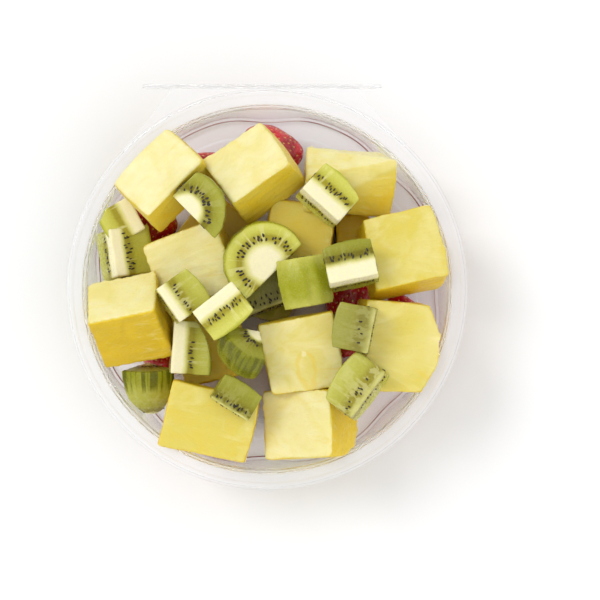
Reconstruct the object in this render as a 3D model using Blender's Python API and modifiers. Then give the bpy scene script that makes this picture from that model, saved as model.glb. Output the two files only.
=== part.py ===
"""Fruit salad in a clear hinged bowl, at its real size in metres.

The origin is the middle of the bowl's flat base, on the surface that the bowl stands on.
+Z is up, and the hinge strip is on the +Y side.
Each piece of fruit is a solid of its own. It is turned as listed and then lowered until it
rests on the bowl or on the fruit that lies under it.
"""

import math
import random
from collections import namedtuple

import bmesh
import bpy
from mathutils import Matrix, Vector
from mathutils.bvhtree import BVHTree

MM = 0.001
GAP = 0.3 * MM  # clear distance that touching solids keep

# Bowl, a thin formed sheet with a steep wall
SHEET = 0.6 * MM
RIM_RADIUS = 108.8 * MM
RIM_HEIGHT = 60.0 * MM
LIP_DROP = 4.0 * MM  # how far the rim's outer edge is turned down
MOUTH_RADIUS = 99.6 * MM
SEAL_DEPTH = 8.5 * MM  # depth of the step that a lid plugs into
LEDGE_RADIUS = 98.0 * MM
HEEL_RADIUS = 97.0 * MM  # where the wall meets the rounded edge of the base
HEEL_ROUNDING = 5.0 * MM
HEEL_STEPS = 3
FOOT_WIDTH = 6.0 * MM
BASE_RADIUS = 74.0 * MM  # flat middle of the base
BASE_GROOVE = 1.2 * MM
FLUTES = 8
FLUTE_DEPTH = 3.6 * MM
TURN_STEPS = 64
WALL_STEPS = 3

# Hinge side: a tab on the rim, and the strip that is bent down from it
TAB_LEFT = -51.5 * MM
TAB_RIGHT = 47.5 * MM
TAB_FILLET_DEG = 18.0  # how far round the rim each fillet of the tab ends
TAB_STEP = 0.15 * MM  # the tab lies a little under the rim's top
STRIP_LENGTH = 129.5 * MM
STRIP_CENTRE = -2.7 * MM
STRIP_DROP = 22.0 * MM
STRIP_LEAN = math.radians(8)
STRIP_CORNER = 5.0 * MM
CORNER_STEPS = 3
TAB_OVERLAP = 4.0 * MM  # how far the tab reaches in under the rim
FILLET_PULL = 0.45
FILLET_STEPS = 6
TAB_ARC_STEPS = 12

# Fruit
CHUNK_ROUNDING = 2.0 * MM
CHUNK_UNEVENNESS = 1.1 * MM
BEVEL_STEPS = 2
GREEN_RADIUS = 21.5 * MM  # peeled fruit, across its axis
GREEN_HALF_LENGTH = 30.0 * MM
GREEN_SPREAD = (0.94, 1.03)  # smallest and largest share of that radius
GREEN_STEPS = (20, 14)
BERRY_TAPER = 0.38
BERRY_SHOULDER = 0.8  # where along the berry the hull's hollow begins
BERRY_HOLLOW = 3.0 * MM
BERRY_STEPS = (12, 9)
SHARP_ANGLE = math.radians(35)

# How far a piece may move aside while it is lowered, and what that costs in height
NUDGES = (0.0, 1.5, 3.0, 4.5)
NUDGE_DIRECTIONS = 8
NUDGE_COST = 0.8
DROP_STEP = 3 * MM
DROP_PRECISION = 0.05 * MM

PINEAPPLE_COLOUR = (0.87, 0.74, 0.24)
KIWI_COLOUR = (0.47, 0.56, 0.07)
STRAWBERRY_COLOUR = (0.48, 0.01, 0.02)
BOWL_COLOUR = (0.93, 0.94, 0.95)

# Chunk: place of the middle of its top face (mm), its sides along and across its heading,
# its thickness, the bulge of its far side, the heading, the way and angle of its lean, and
# how far the back left corner of its top is cut away.
Chunk = namedtuple(
    "Chunk", "name x y along across thick bulge heading lean_to lean slant", defaults=(0,)
)
# Wedge: place of its core line (mm), which side is up, the way from core to skin, the angle
# between its cut faces, its two ends along the core, the way and angle of its lean, how far
# past the core the cut lies, and where the wedge is cut short at one side.
Wedge = namedtuple(
    "Wedge", "name x y up heading angle low high lean_to lean past short", defaults=(0, None)
)
# Berry: place of its middle (mm), its radius and length, how much is left of it, which way
# its tip points, the roll about that line, and the pitch of the tip.
Berry = namedtuple("Berry", "name x y radius length half heading roll pitch")

LOWER_FRUIT = (
    Berry("strawberry_01", 1, 75, 17, 36, False, 5, 0, 0),
    Berry("strawberry_02", -64, 33, 13, 30, False, 250, 0, 0),
    Berry("strawberry_03", -60, -38, 13, 30, False, 300, 0, 0),
    Berry("strawberry_04", 75, 18, 15, 34, False, 250, 0, 0),
    Berry("strawberry_05", 48, 61, 13, 32, False, 130, 0, 0),
    Berry("strawberry_06", -38, 63, 13, 32, False, 40, 0, 0),
    Wedge("kiwi_01", -76, -6, "skin", 88, 90, -13, 14, 0, 0),
    Berry("strawberry_07", -26, -69, 16, 36, False, 60, 0, 0),
    Wedge("kiwi_02", 14, -74, "skin", 10, 90, -14, 14, 0, 0),
    Berry("strawberry_08", 50, -58, 16, 36, False, 135, 0, 0),
    Berry("strawberry_09", 74, -20, 16, 36, False, 100, 0, 0),
    Chunk("pineapple_01", 17, 24, 33, 28, 47, 1, -10, 0, 0),
    Chunk("pineapple_02", 47, 28, 18, 24, 31, 1, 5, 0, 0),
    Chunk("pineapple_03", -33, -28, 32, 32, 44, 1, 12, 0, 0),
    Chunk("pineapple_04", -28, 32, 32, 30, 28, 1, 140, 0, 0),
    Berry("strawberry_10", 46, -4, 13, 30, False, 80, 0, 0),
    Berry("strawberry_11", -46, 2, 13, 30, False, 170, 0, 0),
    Berry("strawberry_12", 14, -41, 16, 36, False, 20, 0, 0),
    Berry("strawberry_13", 39, -28, 11, 26, False, 100, 0, 0),
    Wedge("kiwi_03", -2, 0, "skin", 75, 90, -14, 14, 0, 0),
)

UPPER_FRUIT = (
    Wedge("kiwi_04", -84, 19, "face", 8, 90, -6, 14, 20, 22),
    Wedge("kiwi_05", -68, 36, "face", -151, 90, -10, 9, 30, 6),
    Chunk("pineapple_05", 46, 58, 42, 29, 24, 1, -7, -65, 12, 15),
    Chunk("pineapple_06", -43, 17, 39, 37, 28, 1, 20, 200, 9),
    Chunk("pineapple_07", 71, -33, 32, 45, 29, 5, -3, 0, 7),
    Chunk("pineapple_08", 16, -72, 36, 35, 29, 1, 3, 180, 28),
    Chunk("pineapple_09", -31, -73, 45, 33, 30, 1, -14, -100, 3),
    Wedge("kiwi_06", -65, -43, "skin", -88, 85, 2, 29, -90, 14),
    Chunk("pineapple_10", 75, 22, 36, 37, 29, 1, 12, 68, 14),
    Chunk("pineapple_11", -79, -4, 36, 30, 36, 1, 7, 110, 46),
    Wedge("kiwi_07", -3, -7, "face", 110, 90, -12, 12, 110, 5),
    Chunk("pineapple_12", -60, 64, 41, 29, 26, 1, 46, 136, 25),
    Chunk("pineapple_13", -9, 67, 38, 31, 29, 1, 36, 130, 20),
    Wedge("kiwi_08", 57, -57, "face", 143, 90, -17, 12, 143, 10),
    Chunk("pineapple_14", 18, -33, 39, 38, 29, 1, 10, -100, 3),
    Wedge("kiwi_09", -51, -36, "face", -4, 90, -25, 3, 0, 4),
    Wedge("kiwi_10", 56, -24, "face", 169, 90, -12, 12, 169, 4),
    Wedge("kiwi_11", -19, -64, "face", 58, 90, -13, 12, -30, 5),
    Wedge("kiwi_12", -53, -9, "face", 35, 90, -14, 7, 35, 8),
    Wedge("kiwi_13", -3, -26, "end", -136, 100, -16, 4, 60, 34),
    Wedge("kiwi_14", -2, 14, "end", 135, 180, -9, 6, -45, 6, 6),
    Wedge("kiwi_15", 20, 3, "skin", 100, 90, -13, 13, 0, 4),
    Wedge("kiwi_16", 47, 5, "face", 102, 90, -14, 12, 102, 15),
    Wedge("kiwi_17", -29, -6, "face", -52, 90, -12, 12, 128, 8),
    Wedge("kiwi_18", -45, 42, "end", 45, 180, -10, 4, 225, 4, 0, 10),
    Wedge("kiwi_19", 27, 45, "face", 48, 90, -9, 17, 48, 17),
)


def remove_all_objects():
    """Empty the scene that the script starts in."""
    for old in list(bpy.data.objects):
        bpy.data.objects.remove(old, do_unlink=True)


def new_collection(name):
    """Make a collection and link it to the scene."""
    made = bpy.data.collections.new(name)
    bpy.context.scene.collection.children.link(made)
    return made


def new_material(name, colour, roughness):
    """Make a plain Principled material."""
    made = bpy.data.materials.new(name)
    made.use_nodes = True
    shader = made.node_tree.nodes["Principled BSDF"]
    shader.inputs["Base Color"].default_value = (*colour, 1.0)
    shader.inputs["Roughness"].default_value = roughness
    shader.inputs["Metallic"].default_value = 0.0
    made.diffuse_color = (*colour, 1.0)
    return made


def new_object(name, mesh, collection, material=None):
    """Make an object from a mesh and put it in a collection."""
    made = bpy.data.objects.new(name, mesh)
    collection.objects.link(made)
    if material:
        mesh.materials.append(material)
    return made


def mesh_from(bm, name):
    """Turn a bmesh into a mesh and free it."""
    bmesh.ops.recalc_face_normals(bm, faces=bm.faces)
    if bm.calc_volume(signed=True) < 0:
        bmesh.ops.reverse_faces(bm, faces=bm.faces)
    mesh = bpy.data.meshes.new(name)
    bm.to_mesh(mesh)
    bm.free()
    mesh.shade_smooth()
    mesh.set_sharp_from_angle(angle=SHARP_ANGLE)
    return mesh


def evaluated_mesh(source):
    """Return a new mesh with the object's modifiers or curve settings applied."""
    bpy.context.view_layer.update()
    graph = bpy.context.evaluated_depsgraph_get()
    return bpy.data.meshes.new_from_object(source.evaluated_get(graph))


# Bowl


def bowl_profile():
    """Radius and height along the sheet's outer side, from the lip to the middle of the base."""
    lip = RIM_RADIUS - SHEET
    flange = RIM_HEIGHT - SHEET
    ledge = RIM_HEIGHT - SEAL_DEPTH - SHEET
    points = [
        (lip, RIM_HEIGHT - LIP_DROP),
        (lip, flange),
        (MOUTH_RADIUS + SHEET, flange),
        (MOUTH_RADIUS, ledge + SHEET),
        (LEDGE_RADIUS + SHEET, ledge),
    ]
    for step in range(1, WALL_STEPS + 1):
        share = step / WALL_STEPS
        radius = LEDGE_RADIUS + SHEET + share * (HEEL_RADIUS - LEDGE_RADIUS - SHEET)
        points.append((radius, ledge + share * (HEEL_ROUNDING - ledge)))
    for step in range(1, HEEL_STEPS + 1):
        angle = math.pi / 2 * step / HEEL_STEPS
        radius = HEEL_RADIUS - HEEL_ROUNDING * (1 - math.cos(angle))
        points.append((radius, HEEL_ROUNDING * (1 - math.sin(angle))))
    foot = HEEL_RADIUS - HEEL_ROUNDING - FOOT_WIDTH
    points += [
        (foot, 0.0),
        (foot - BASE_GROOVE, BASE_GROOVE),
        (BASE_RADIUS + BASE_GROOVE, BASE_GROOVE),
        (BASE_RADIUS, 0.0),
        (0.0, 0.0),
    ]
    return points


def flute(angle, height):
    """How far the wall is pressed in at this angle and height, most at the base."""
    top = RIM_HEIGHT - SEAL_DEPTH - SHEET
    if height > top:
        return 0.0
    around = (0.5 + 0.5 * math.cos(FLUTES * angle)) ** 2
    return FLUTE_DEPTH * around * (1 - height / top)


def turned_sheet(collection):
    """Turn the profile about Z and press the flutes into the wall."""
    profile = bpy.data.meshes.new("bowl_profile")
    points = [(radius, 0.0, height) for radius, height in bowl_profile()]
    profile.from_pydata(points, [(i, i + 1) for i in range(len(points) - 1)], [])
    guide = new_object("bowl_profile", profile, collection)
    screw = guide.modifiers.new("turn", "SCREW")
    screw.axis = "Z"
    screw.angle = math.tau
    screw.steps = TURN_STEPS
    screw.render_steps = TURN_STEPS
    screw.use_merge_vertices = True
    screw.merge_threshold = 0.05 * MM
    mesh = evaluated_mesh(guide)
    bpy.data.objects.remove(guide, do_unlink=True)
    for vertex in mesh.vertices:
        radius = math.hypot(vertex.co.x, vertex.co.y)
        if radius > BASE_RADIUS:
            pressed = flute(math.atan2(vertex.co.y, vertex.co.x), vertex.co.z)
            vertex.co.xy *= (radius - pressed) / radius
    return mesh


def tab_outline():
    """Corners of the tab: hinge edge, a fillet at each end, and an arc under the rim."""
    edge = RIM_RADIUS
    points = []
    for end, side in ((TAB_RIGHT, 1), (TAB_LEFT, -1)):
        # The fillet is an arc that is tangent to the rim and meets the hinge edge.
        swing = math.asin(abs(end) / RIM_RADIUS) + math.radians(TAB_FILLET_DEG)
        foot_angle = math.pi / 2 - side * swing
        foot = Vector((math.cos(foot_angle), math.sin(foot_angle))) * RIM_RADIUS
        corner = Vector((end, edge))
        tangent = Vector((-math.sin(foot_angle), math.cos(foot_angle))) * side
        pull = corner - foot
        handle = foot + tangent * pull.length * FILLET_PULL
        arc = []
        for step in range(FILLET_STEPS + 1):
            share = step / FILLET_STEPS
            arc.append(corner.lerp(handle, share).lerp(handle.lerp(foot, share), share))
        arc.append(foot * ((RIM_RADIUS - TAB_OVERLAP) / RIM_RADIUS))
        points.append(arc)
    right, left = points
    start = math.atan2(right[-1].y, right[-1].x)
    stop = math.atan2(left[-1].y, left[-1].x)
    radius = RIM_RADIUS - TAB_OVERLAP
    under = []
    for step in range(1, TAB_ARC_STEPS):
        angle = start + (stop - start) * step / TAB_ARC_STEPS
        under.append(Vector((math.cos(angle), math.sin(angle))) * radius)
    return right + under + left[::-1]


def extruded(name, outline, thickness, collection):
    """A flat plate from a closed outline, centred on z = 0, as a mesh object."""
    curve = bpy.data.curves.new(name, "CURVE")
    curve.dimensions = "2D"
    curve.fill_mode = "BOTH"
    curve.extrude = thickness / 2
    line = curve.splines.new("POLY")
    line.points.add(len(outline) - 1)
    for point, place in zip(line.points, outline):
        point.co = (place.x, place.y, 0.0, 1.0)
    line.use_cyclic_u = True
    guide = bpy.data.objects.new(name + "_outline", curve)
    collection.objects.link(guide)
    mesh = evaluated_mesh(guide)
    bpy.data.objects.remove(guide, do_unlink=True)
    bm = bmesh.new()
    bm.from_mesh(mesh)
    bmesh.ops.remove_doubles(bm, verts=bm.verts, dist=0.01 * MM)
    bmesh.ops.recalc_face_normals(bm, faces=bm.faces)
    bm.to_mesh(mesh)
    bm.free()
    plate = new_object(name, mesh, collection)
    plate.hide_render = True
    plate.display_type = "WIRE"
    return plate


def rounded_rectangle(width, height, corner):
    """Outline of a rectangle with round corners, centred on the origin."""
    points = []
    for quarter in range(4):
        sign_x = 1 if quarter in (0, 3) else -1
        sign_y = 1 if quarter in (0, 1) else -1
        middle = Vector((sign_x * (width / 2 - corner), sign_y * (height / 2 - corner)))
        for step in range(CORNER_STEPS + 1):
            angle = math.pi / 2 * (quarter + step / CORNER_STEPS)
            points.append(middle + Vector((math.cos(angle), math.sin(angle))) * corner)
    return points


def make_bowl(collection, cutters, material):
    """Bowl, rim, tab and hinge strip as one solid."""
    bowl = new_object("bowl", turned_sheet(cutters), collection, material)
    thicken = bowl.modifiers.new("sheet", "SOLIDIFY")
    thicken.thickness = SHEET
    thicken.offset = -1.0
    thicken.use_even_offset = True
    tab = extruded("tab", tab_outline(), SHEET, cutters)
    tab.location.z = RIM_HEIGHT - SHEET / 2 - TAB_STEP
    strip_shape = rounded_rectangle(STRIP_LENGTH, STRIP_DROP, STRIP_CORNER)
    strip = extruded("strip", strip_shape, SHEET, cutters)
    strip.rotation_euler.x = math.pi / 2 + STRIP_LEAN
    reach = STRIP_DROP / 2
    strip.location = (
        STRIP_CENTRE,
        RIM_RADIUS - SHEET / 2 + reach * math.sin(STRIP_LEAN),
        RIM_HEIGHT - SHEET - reach * math.cos(STRIP_LEAN),
    )
    for plate in (tab, strip):
        join = bowl.modifiers.new(plate.name, "BOOLEAN")
        join.operation = "UNION"
        join.solver = "EXACT"
        join.object = plate
    return bowl


# Fruit shapes, each about its own origin


def chunk_mesh(item, seed):
    """A cut block with the origin in the middle of its top face and one side bulging."""
    uneven = random.Random(seed)
    along, across, thick = item.along * MM, item.across * MM, item.thick * MM
    bm = bmesh.new()
    bmesh.ops.create_cube(bm, size=1.0)
    bmesh.ops.scale(bm, vec=(along, across, thick), verts=bm.verts)
    bmesh.ops.translate(bm, vec=(0, 0, -thick / 2), verts=bm.verts)
    for vertex in bm.verts:
        if vertex.co.x < 0 < vertex.co.y and vertex.co.z > -thick / 2:
            vertex.co.y -= item.slant * MM
        vertex.co += Vector([uneven.uniform(-1, 1) for _ in range(3)]) * CHUNK_UNEVENNESS
    far = [e for e in bm.edges if all(v.co.x > 0 for v in e.verts)]
    far = [e for e in far if abs((e.verts[0].co - e.verts[1].co).y) > across / 2]
    cut = bmesh.ops.subdivide_edges(bm, edges=far, cuts=2)
    for vertex in [v for v in cut["geom_inner"] if isinstance(v, bmesh.types.BMVert)]:
        vertex.co.x += item.bulge * MM
    sharp = [e for e in bm.edges if e.calc_face_angle(0.0) > SHARP_ANGLE]
    bmesh.ops.bevel(
        bm, geom=sharp, offset=CHUNK_ROUNDING, segments=BEVEL_STEPS, profile=0.5, affect="EDGES"
    )
    return mesh_from(bm, item.name)


def cut_off(bm, place, normal):
    """Cut a closed bmesh with a plane, keep the side behind the normal, and close it."""
    everything = bm.verts[:] + bm.edges[:] + bm.faces[:]
    bmesh.ops.bisect_plane(
        bm, geom=everything, dist=0.01 * MM, plane_co=place, plane_no=normal, clear_outer=True
    )
    rim = [e for e in bm.edges if e.is_boundary]
    bmesh.ops.holes_fill(bm, edges=rim, sides=0)


def wedge_mesh(item, seed):
    """A wedge of peeled fruit: the core line is Z, and the cut faces meet on it."""
    uneven = random.Random(seed)
    radius = GREEN_RADIUS * uneven.uniform(*GREEN_SPREAD)
    around, along = GREEN_STEPS
    bm = bmesh.new()
    bmesh.ops.create_uvsphere(bm, u_segments=around, v_segments=along, radius=1.0)
    bmesh.ops.scale(bm, vec=(radius, radius, GREEN_HALF_LENGTH), verts=bm.verts)
    cut_off(bm, (0, 0, item.high * MM), (0, 0, 1))
    cut_off(bm, (0, 0, item.low * MM), (0, 0, -1))
    half = math.radians(item.angle / 2)
    sides = (1, -1) if item.angle < 180 else (1,)
    for side in sides:
        cut_off(bm, (-item.past * MM, 0, 0), (-math.sin(half), side * math.cos(half), 0))
    if item.short is not None:
        cut_off(bm, (0, item.short * MM, 0), (0, 1, 0))
    return mesh_from(bm, item.name)


def berry_mesh(item):
    """A hulled berry with its tip along +X, whole or with the half below z = 0."""
    radius, length = item.radius * MM, item.length * MM
    rounds, slices = BERRY_STEPS
    bm = bmesh.new()
    bmesh.ops.create_uvsphere(bm, u_segments=rounds, v_segments=slices, radius=1.0)
    for vertex in bm.verts:
        along, side, height = vertex.co.z, vertex.co.y, vertex.co.x
        width = radius * (1 - BERRY_TAPER * along)
        hollow = BERRY_HOLLOW * max(0.0, -along - BERRY_SHOULDER) / (1 - BERRY_SHOULDER)
        vertex.co = (along * length / 2 + 2 * hollow, side * width, height * width)
    if item.half:
        cut_off(bm, (0, 0, 0), (0, 0, 1))
    return mesh_from(bm, item.name)


# Turning and placing


def leaning(lean_to, lean):
    """Rotation that tips the upward direction towards a compass angle, in degrees."""
    way = math.radians(lean_to)
    axis = Vector((-math.sin(way), math.cos(way), 0))
    return Matrix.Rotation(math.radians(lean), 4, axis)


def turned(item):
    """The rotation of one piece of fruit."""
    heading = Matrix.Rotation(math.radians(item.heading), 4, "Z")
    if isinstance(item, Chunk):
        return leaning(item.lean_to, item.lean) @ heading
    if isinstance(item, Berry):
        pitch = Matrix.Rotation(math.radians(item.pitch), 4, "Y")
        roll = Matrix.Rotation(math.radians(item.roll), 4, "X")
        return heading @ pitch @ roll
    half = item.angle / 2
    stand = {
        # a cut face up, with the skin ahead and the core line across the heading
        "face": Matrix.Rotation(math.radians(90), 4, "X") @ Matrix.Rotation(math.radians(-half), 4, "Z"),
        # the skin up or the core up, with the core line along the heading
        "skin": Matrix.Rotation(math.radians(90), 4, "Y") @ Matrix.Rotation(math.radians(180), 4, "Z"),
        "core": Matrix.Rotation(math.radians(90), 4, "Y"),
        # an end up, with the skin ahead
        "end": Matrix.Identity(4),
    }[item.up]
    return leaning(item.lean_to, item.lean) @ heading @ stand


def fruit_mesh(item, seed):
    """The mesh of one piece of fruit, about its own origin."""
    if isinstance(item, Chunk):
        return chunk_mesh(item, seed)
    if isinstance(item, Wedge):
        return wedge_mesh(item, seed)
    return berry_mesh(item)


class Heap:
    """What already lies in the bowl, as one tree of faces."""

    def __init__(self):
        self.points = []
        self.faces = []
        self.tree = None

    def add(self, piece):
        """Add an object's evaluated surface where the object stands."""
        mesh = evaluated_mesh(piece)
        first = len(self.points)
        self.points += [piece.matrix_world @ vertex.co for vertex in mesh.vertices]
        self.faces += [[first + corner for corner in face.vertices] for face in mesh.polygons]
        self.tree = BVHTree.FromPolygons(self.points, self.faces)
        bpy.data.meshes.remove(mesh)

    def top(self):
        """The highest point so far."""
        return max(point.z for point in self.points)

    def is_clear(self, shell, faces, place):
        """True if the shell doesn't meet the heap there."""
        moved = [point + place for point in shell]
        return not self.tree.overlap(BVHTree.FromPolygons(moved, faces))

    def lowest(self, shell, faces, x, y, start):
        """The height at which the shell, lowered from the start, comes to rest."""
        height = start
        while self.is_clear(shell, faces, Vector((x, y, height - DROP_STEP))):
            height -= DROP_STEP
        step = DROP_STEP / 2
        while step > DROP_PRECISION:
            if self.is_clear(shell, faces, Vector((x, y, height - step))):
                height -= step
            step /= 2
        return height

    def place_for(self, mesh, rotation, x, y):
        """The place near (x, y) where the mesh comes to rest lowest."""
        shell = [rotation @ (vertex.co + vertex.normal * GAP) for vertex in mesh.vertices]
        faces = [list(face.vertices) for face in mesh.polygons]
        start = self.top() - min(point.z for point in shell) + DROP_STEP
        best, best_cost = None, math.inf
        for reach in NUDGES:
            ways = NUDGE_DIRECTIONS if reach else 1
            for way in range(ways):
                angle = math.tau * way / ways
                at_x = x + reach * MM * math.cos(angle)
                at_y = y + reach * MM * math.sin(angle)
                height = self.lowest(shell, faces, at_x, at_y, start)
                cost = height + NUDGE_COST * reach * MM
                if cost < best_cost - DROP_PRECISION:
                    best, best_cost = Vector((at_x, at_y, height)), cost
        return best


def main():
    """Build the bowl and fill it from the bottom up."""
    remove_all_objects()
    parts = new_collection("fruit_salad")
    cutters = new_collection("cutters")
    colours = {
        Chunk: new_material("pineapple_flesh", PINEAPPLE_COLOUR, 0.45),
        Wedge: new_material("kiwi_flesh", KIWI_COLOUR, 0.4),
        Berry: new_material("strawberry_flesh", STRAWBERRY_COLOUR, 0.35),
    }
    bowl = make_bowl(parts, cutters, new_material("clear_sheet", BOWL_COLOUR, 0.1))
    heap = Heap()
    heap.add(bowl)
    for seed, item in enumerate(LOWER_FRUIT + UPPER_FRUIT):
        mesh = fruit_mesh(item, seed)
        piece = new_object(item.name, mesh, parts, colours[type(item)])
        rotation = turned(item)
        place = heap.place_for(mesh, rotation.to_3x3(), item.x * MM, item.y * MM)
        piece.rotation_euler = rotation.to_euler()
        piece.location = place
        bpy.context.view_layer.update()
        heap.add(piece)


main()
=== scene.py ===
"""Looks of a fruit salad in a clear hinged bowl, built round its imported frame.

Every piece of fruit starts from its own solid in the frame, so it lies where that solid lies.
Its flesh gets a fine surface, its own grain or rings as an attribute, and loose seeds as
geometry. The bowl is a formed clear sheet with a rim, a tab and a hinge strip.
"""

import logging
import math
import random
from dataclasses import dataclass, field
from enum import Enum
from typing import Sequence

import bpy
import numpy as np
from mathutils import Matrix, Vector, kdtree, noise

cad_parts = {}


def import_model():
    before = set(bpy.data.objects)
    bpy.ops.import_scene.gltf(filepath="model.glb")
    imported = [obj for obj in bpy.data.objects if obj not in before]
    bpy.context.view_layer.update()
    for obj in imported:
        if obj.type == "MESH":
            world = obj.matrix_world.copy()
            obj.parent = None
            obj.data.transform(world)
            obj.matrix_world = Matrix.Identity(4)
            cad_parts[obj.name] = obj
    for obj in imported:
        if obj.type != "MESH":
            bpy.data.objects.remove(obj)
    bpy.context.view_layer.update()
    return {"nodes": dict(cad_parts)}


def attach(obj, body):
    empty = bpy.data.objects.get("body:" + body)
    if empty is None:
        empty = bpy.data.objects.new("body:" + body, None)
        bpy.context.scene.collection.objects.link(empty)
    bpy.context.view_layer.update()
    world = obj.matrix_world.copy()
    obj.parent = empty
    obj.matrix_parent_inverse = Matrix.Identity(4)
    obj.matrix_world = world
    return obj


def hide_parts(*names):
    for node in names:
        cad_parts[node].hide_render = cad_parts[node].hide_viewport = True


MM = 0.001
ROOT = "root"
# How far apart the grain of one block lies from the next one's, so that none repeats.
GRAIN_SHIFT = 37.0
# Points closer than this are merged, in millimetres.
MERGE = 0.01
# A kiwi's usual radii in millimetres, and how its seeds lie about the seed ring.
RING = 10.3
SKIN = 21.0
SEED_SHELLS = (9.3, 11.1)
ONE_ROW = (10.3,)
SEED_PITCH = 1.75
SEED_ROW = 2.0
SEED_SHARE = 0.92
# How far a seed's middle may lie above or under a cut, from its other cuts and from the flesh.
SEED_ABOVE = 0.9
SEED_UNDER = 0.75
SEED_MARGIN = 1.9
SEED_SLACK = 1.3
SEED_SUNK = 0.15
LOG = logging.getLogger("fruit_salad")

Colour = tuple[float, float, float]
Stops = Sequence[tuple[float, Colour]]


# Modelling by hand, in small steps


class Bench:
    """The operators that every piece is modelled with, each on one object."""

    @staticmethod
    def clear() -> None:
        """Leave edit mode and deselect everything."""
        if bpy.context.mode != "OBJECT":
            bpy.ops.object.mode_set(mode="OBJECT")
        bpy.ops.object.select_all(action="DESELECT")

    @staticmethod
    def pick(piece: bpy.types.Object) -> None:
        """Make one object the only one that is selected and active.

        Args:
            piece: The object.
        """
        Bench.clear()
        piece.select_set(True)
        bpy.context.view_layer.objects.active = piece

    @staticmethod
    def edit(piece: bpy.types.Object) -> None:
        """Open one object in edit mode, with everything in it selected.

        Args:
            piece: A mesh object.
        """
        Bench.pick(piece)
        bpy.ops.object.mode_set(mode="EDIT")
        bpy.ops.mesh.select_all(action="SELECT")

    @staticmethod
    def copy_of(node: bpy.types.Object, name: str) -> bpy.types.Object:
        """Copy a solid of the frame and merge its loose triangles.

        Args:
            node: The solid's object.
            name: The new piece's name.

        Returns:
            The copy, with its own mesh.
        """
        piece = bpy.data.objects.new(name, node.data.copy())
        bpy.context.scene.collection.objects.link(piece)
        piece.data.name = name
        piece.data.materials.clear()
        Bench.edit(piece)
        bpy.ops.mesh.remove_doubles(threshold=MERGE * MM)
        bpy.ops.mesh.normals_make_consistent(inside=False)
        bpy.ops.mesh.customdata_custom_splitnormals_clear()
        bpy.ops.object.mode_set(mode="OBJECT")
        return piece

    @staticmethod
    def finish_modifier(piece: bpy.types.Object, modifier: bpy.types.Modifier) -> None:
        """Apply one modifier of an object."""
        Bench.pick(piece)
        bpy.ops.object.modifier_apply(modifier=modifier.name)

    @staticmethod
    def remesh(piece: bpy.types.Object, size: float) -> None:
        """Give an object an even skin of small faces.

        Args:
            piece: A closed mesh object.
            size: Width of the new faces, in metres.
        """
        even = piece.modifiers.new("even", "REMESH")
        even.mode = "VOXEL"
        even.voxel_size = size
        even.adaptivity = 0.0
        Bench.finish_modifier(piece, even)

    @staticmethod
    def smooth(piece: bpy.types.Object, share: float, rounds: int) -> None:
        """Relax the surface, which also softens the edges.

        Args:
            piece: A mesh object.
            share: How far a point moves in each round, from 0 to 1.
            rounds: The number of rounds.
        """
        soft = piece.modifiers.new("soft", "SMOOTH")
        soft.factor = share
        soft.iterations = rounds
        Bench.finish_modifier(piece, soft)

    @staticmethod
    def shade(piece: bpy.types.Object, degrees: float = 60.0) -> None:
        """Shade smooth, but keep edges that are sharper than an angle."""
        Bench.pick(piece)
        bpy.ops.object.shade_smooth_by_angle(angle=math.radians(degrees))

    @staticmethod
    def read(items: bpy.types.bpy_prop_collection, kind: str) -> np.ndarray:
        """Read one vector from each item of a mesh.

        Args:
            items: The mesh's points or directions.
            kind: The vector's name.

        Returns:
            Rows of x, y and z.
        """
        rows = np.empty(len(items) * 3, np.float32)
        items.foreach_get(kind, rows)
        return rows.reshape(-1, 3).astype(float)

    @staticmethod
    def points(piece: bpy.types.Object) -> np.ndarray:
        """Return the mesh's points as rows of x, y and z."""
        return Bench.read(piece.data.vertices, "co")

    @staticmethod
    def normals(piece: bpy.types.Object) -> np.ndarray:
        """Return the outward directions at the mesh's points."""
        return Bench.read(piece.data.vertex_normals, "vector")

    @staticmethod
    def move_points(piece: bpy.types.Object, rows: np.ndarray) -> None:
        """Put the mesh's points at new places."""
        piece.data.vertices.foreach_set("co", rows.astype(np.float32).ravel())
        piece.data.update()

    @staticmethod
    def note(piece: bpy.types.Object, name: str, rows: np.ndarray) -> None:
        """Store a vector at each point, for the materials to read.

        Args:
            piece: A mesh object.
            name: The attribute's name.
            rows: One vector for each point.
        """
        kept = piece.data.attributes.new(name, "FLOAT_VECTOR", "POINT")
        kept.data.foreach_set("vector", rows.astype(np.float32).ravel())


def ripple(rows: np.ndarray, size: float, seed: float) -> np.ndarray:
    """Smooth noise at each row, from about -1 to 1.

    Args:
        rows: Places in metres.
        size: Width of the noise's bumps, in metres.
        seed: A shift that makes each use its own pattern.

    Returns:
        One value for each row.
    """
    shift = Vector((seed * 7.3, seed * 3.1, -seed * 5.7))
    return np.array([noise.noise(Vector(row) / size + shift) for row in rows])


# Materials


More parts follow.
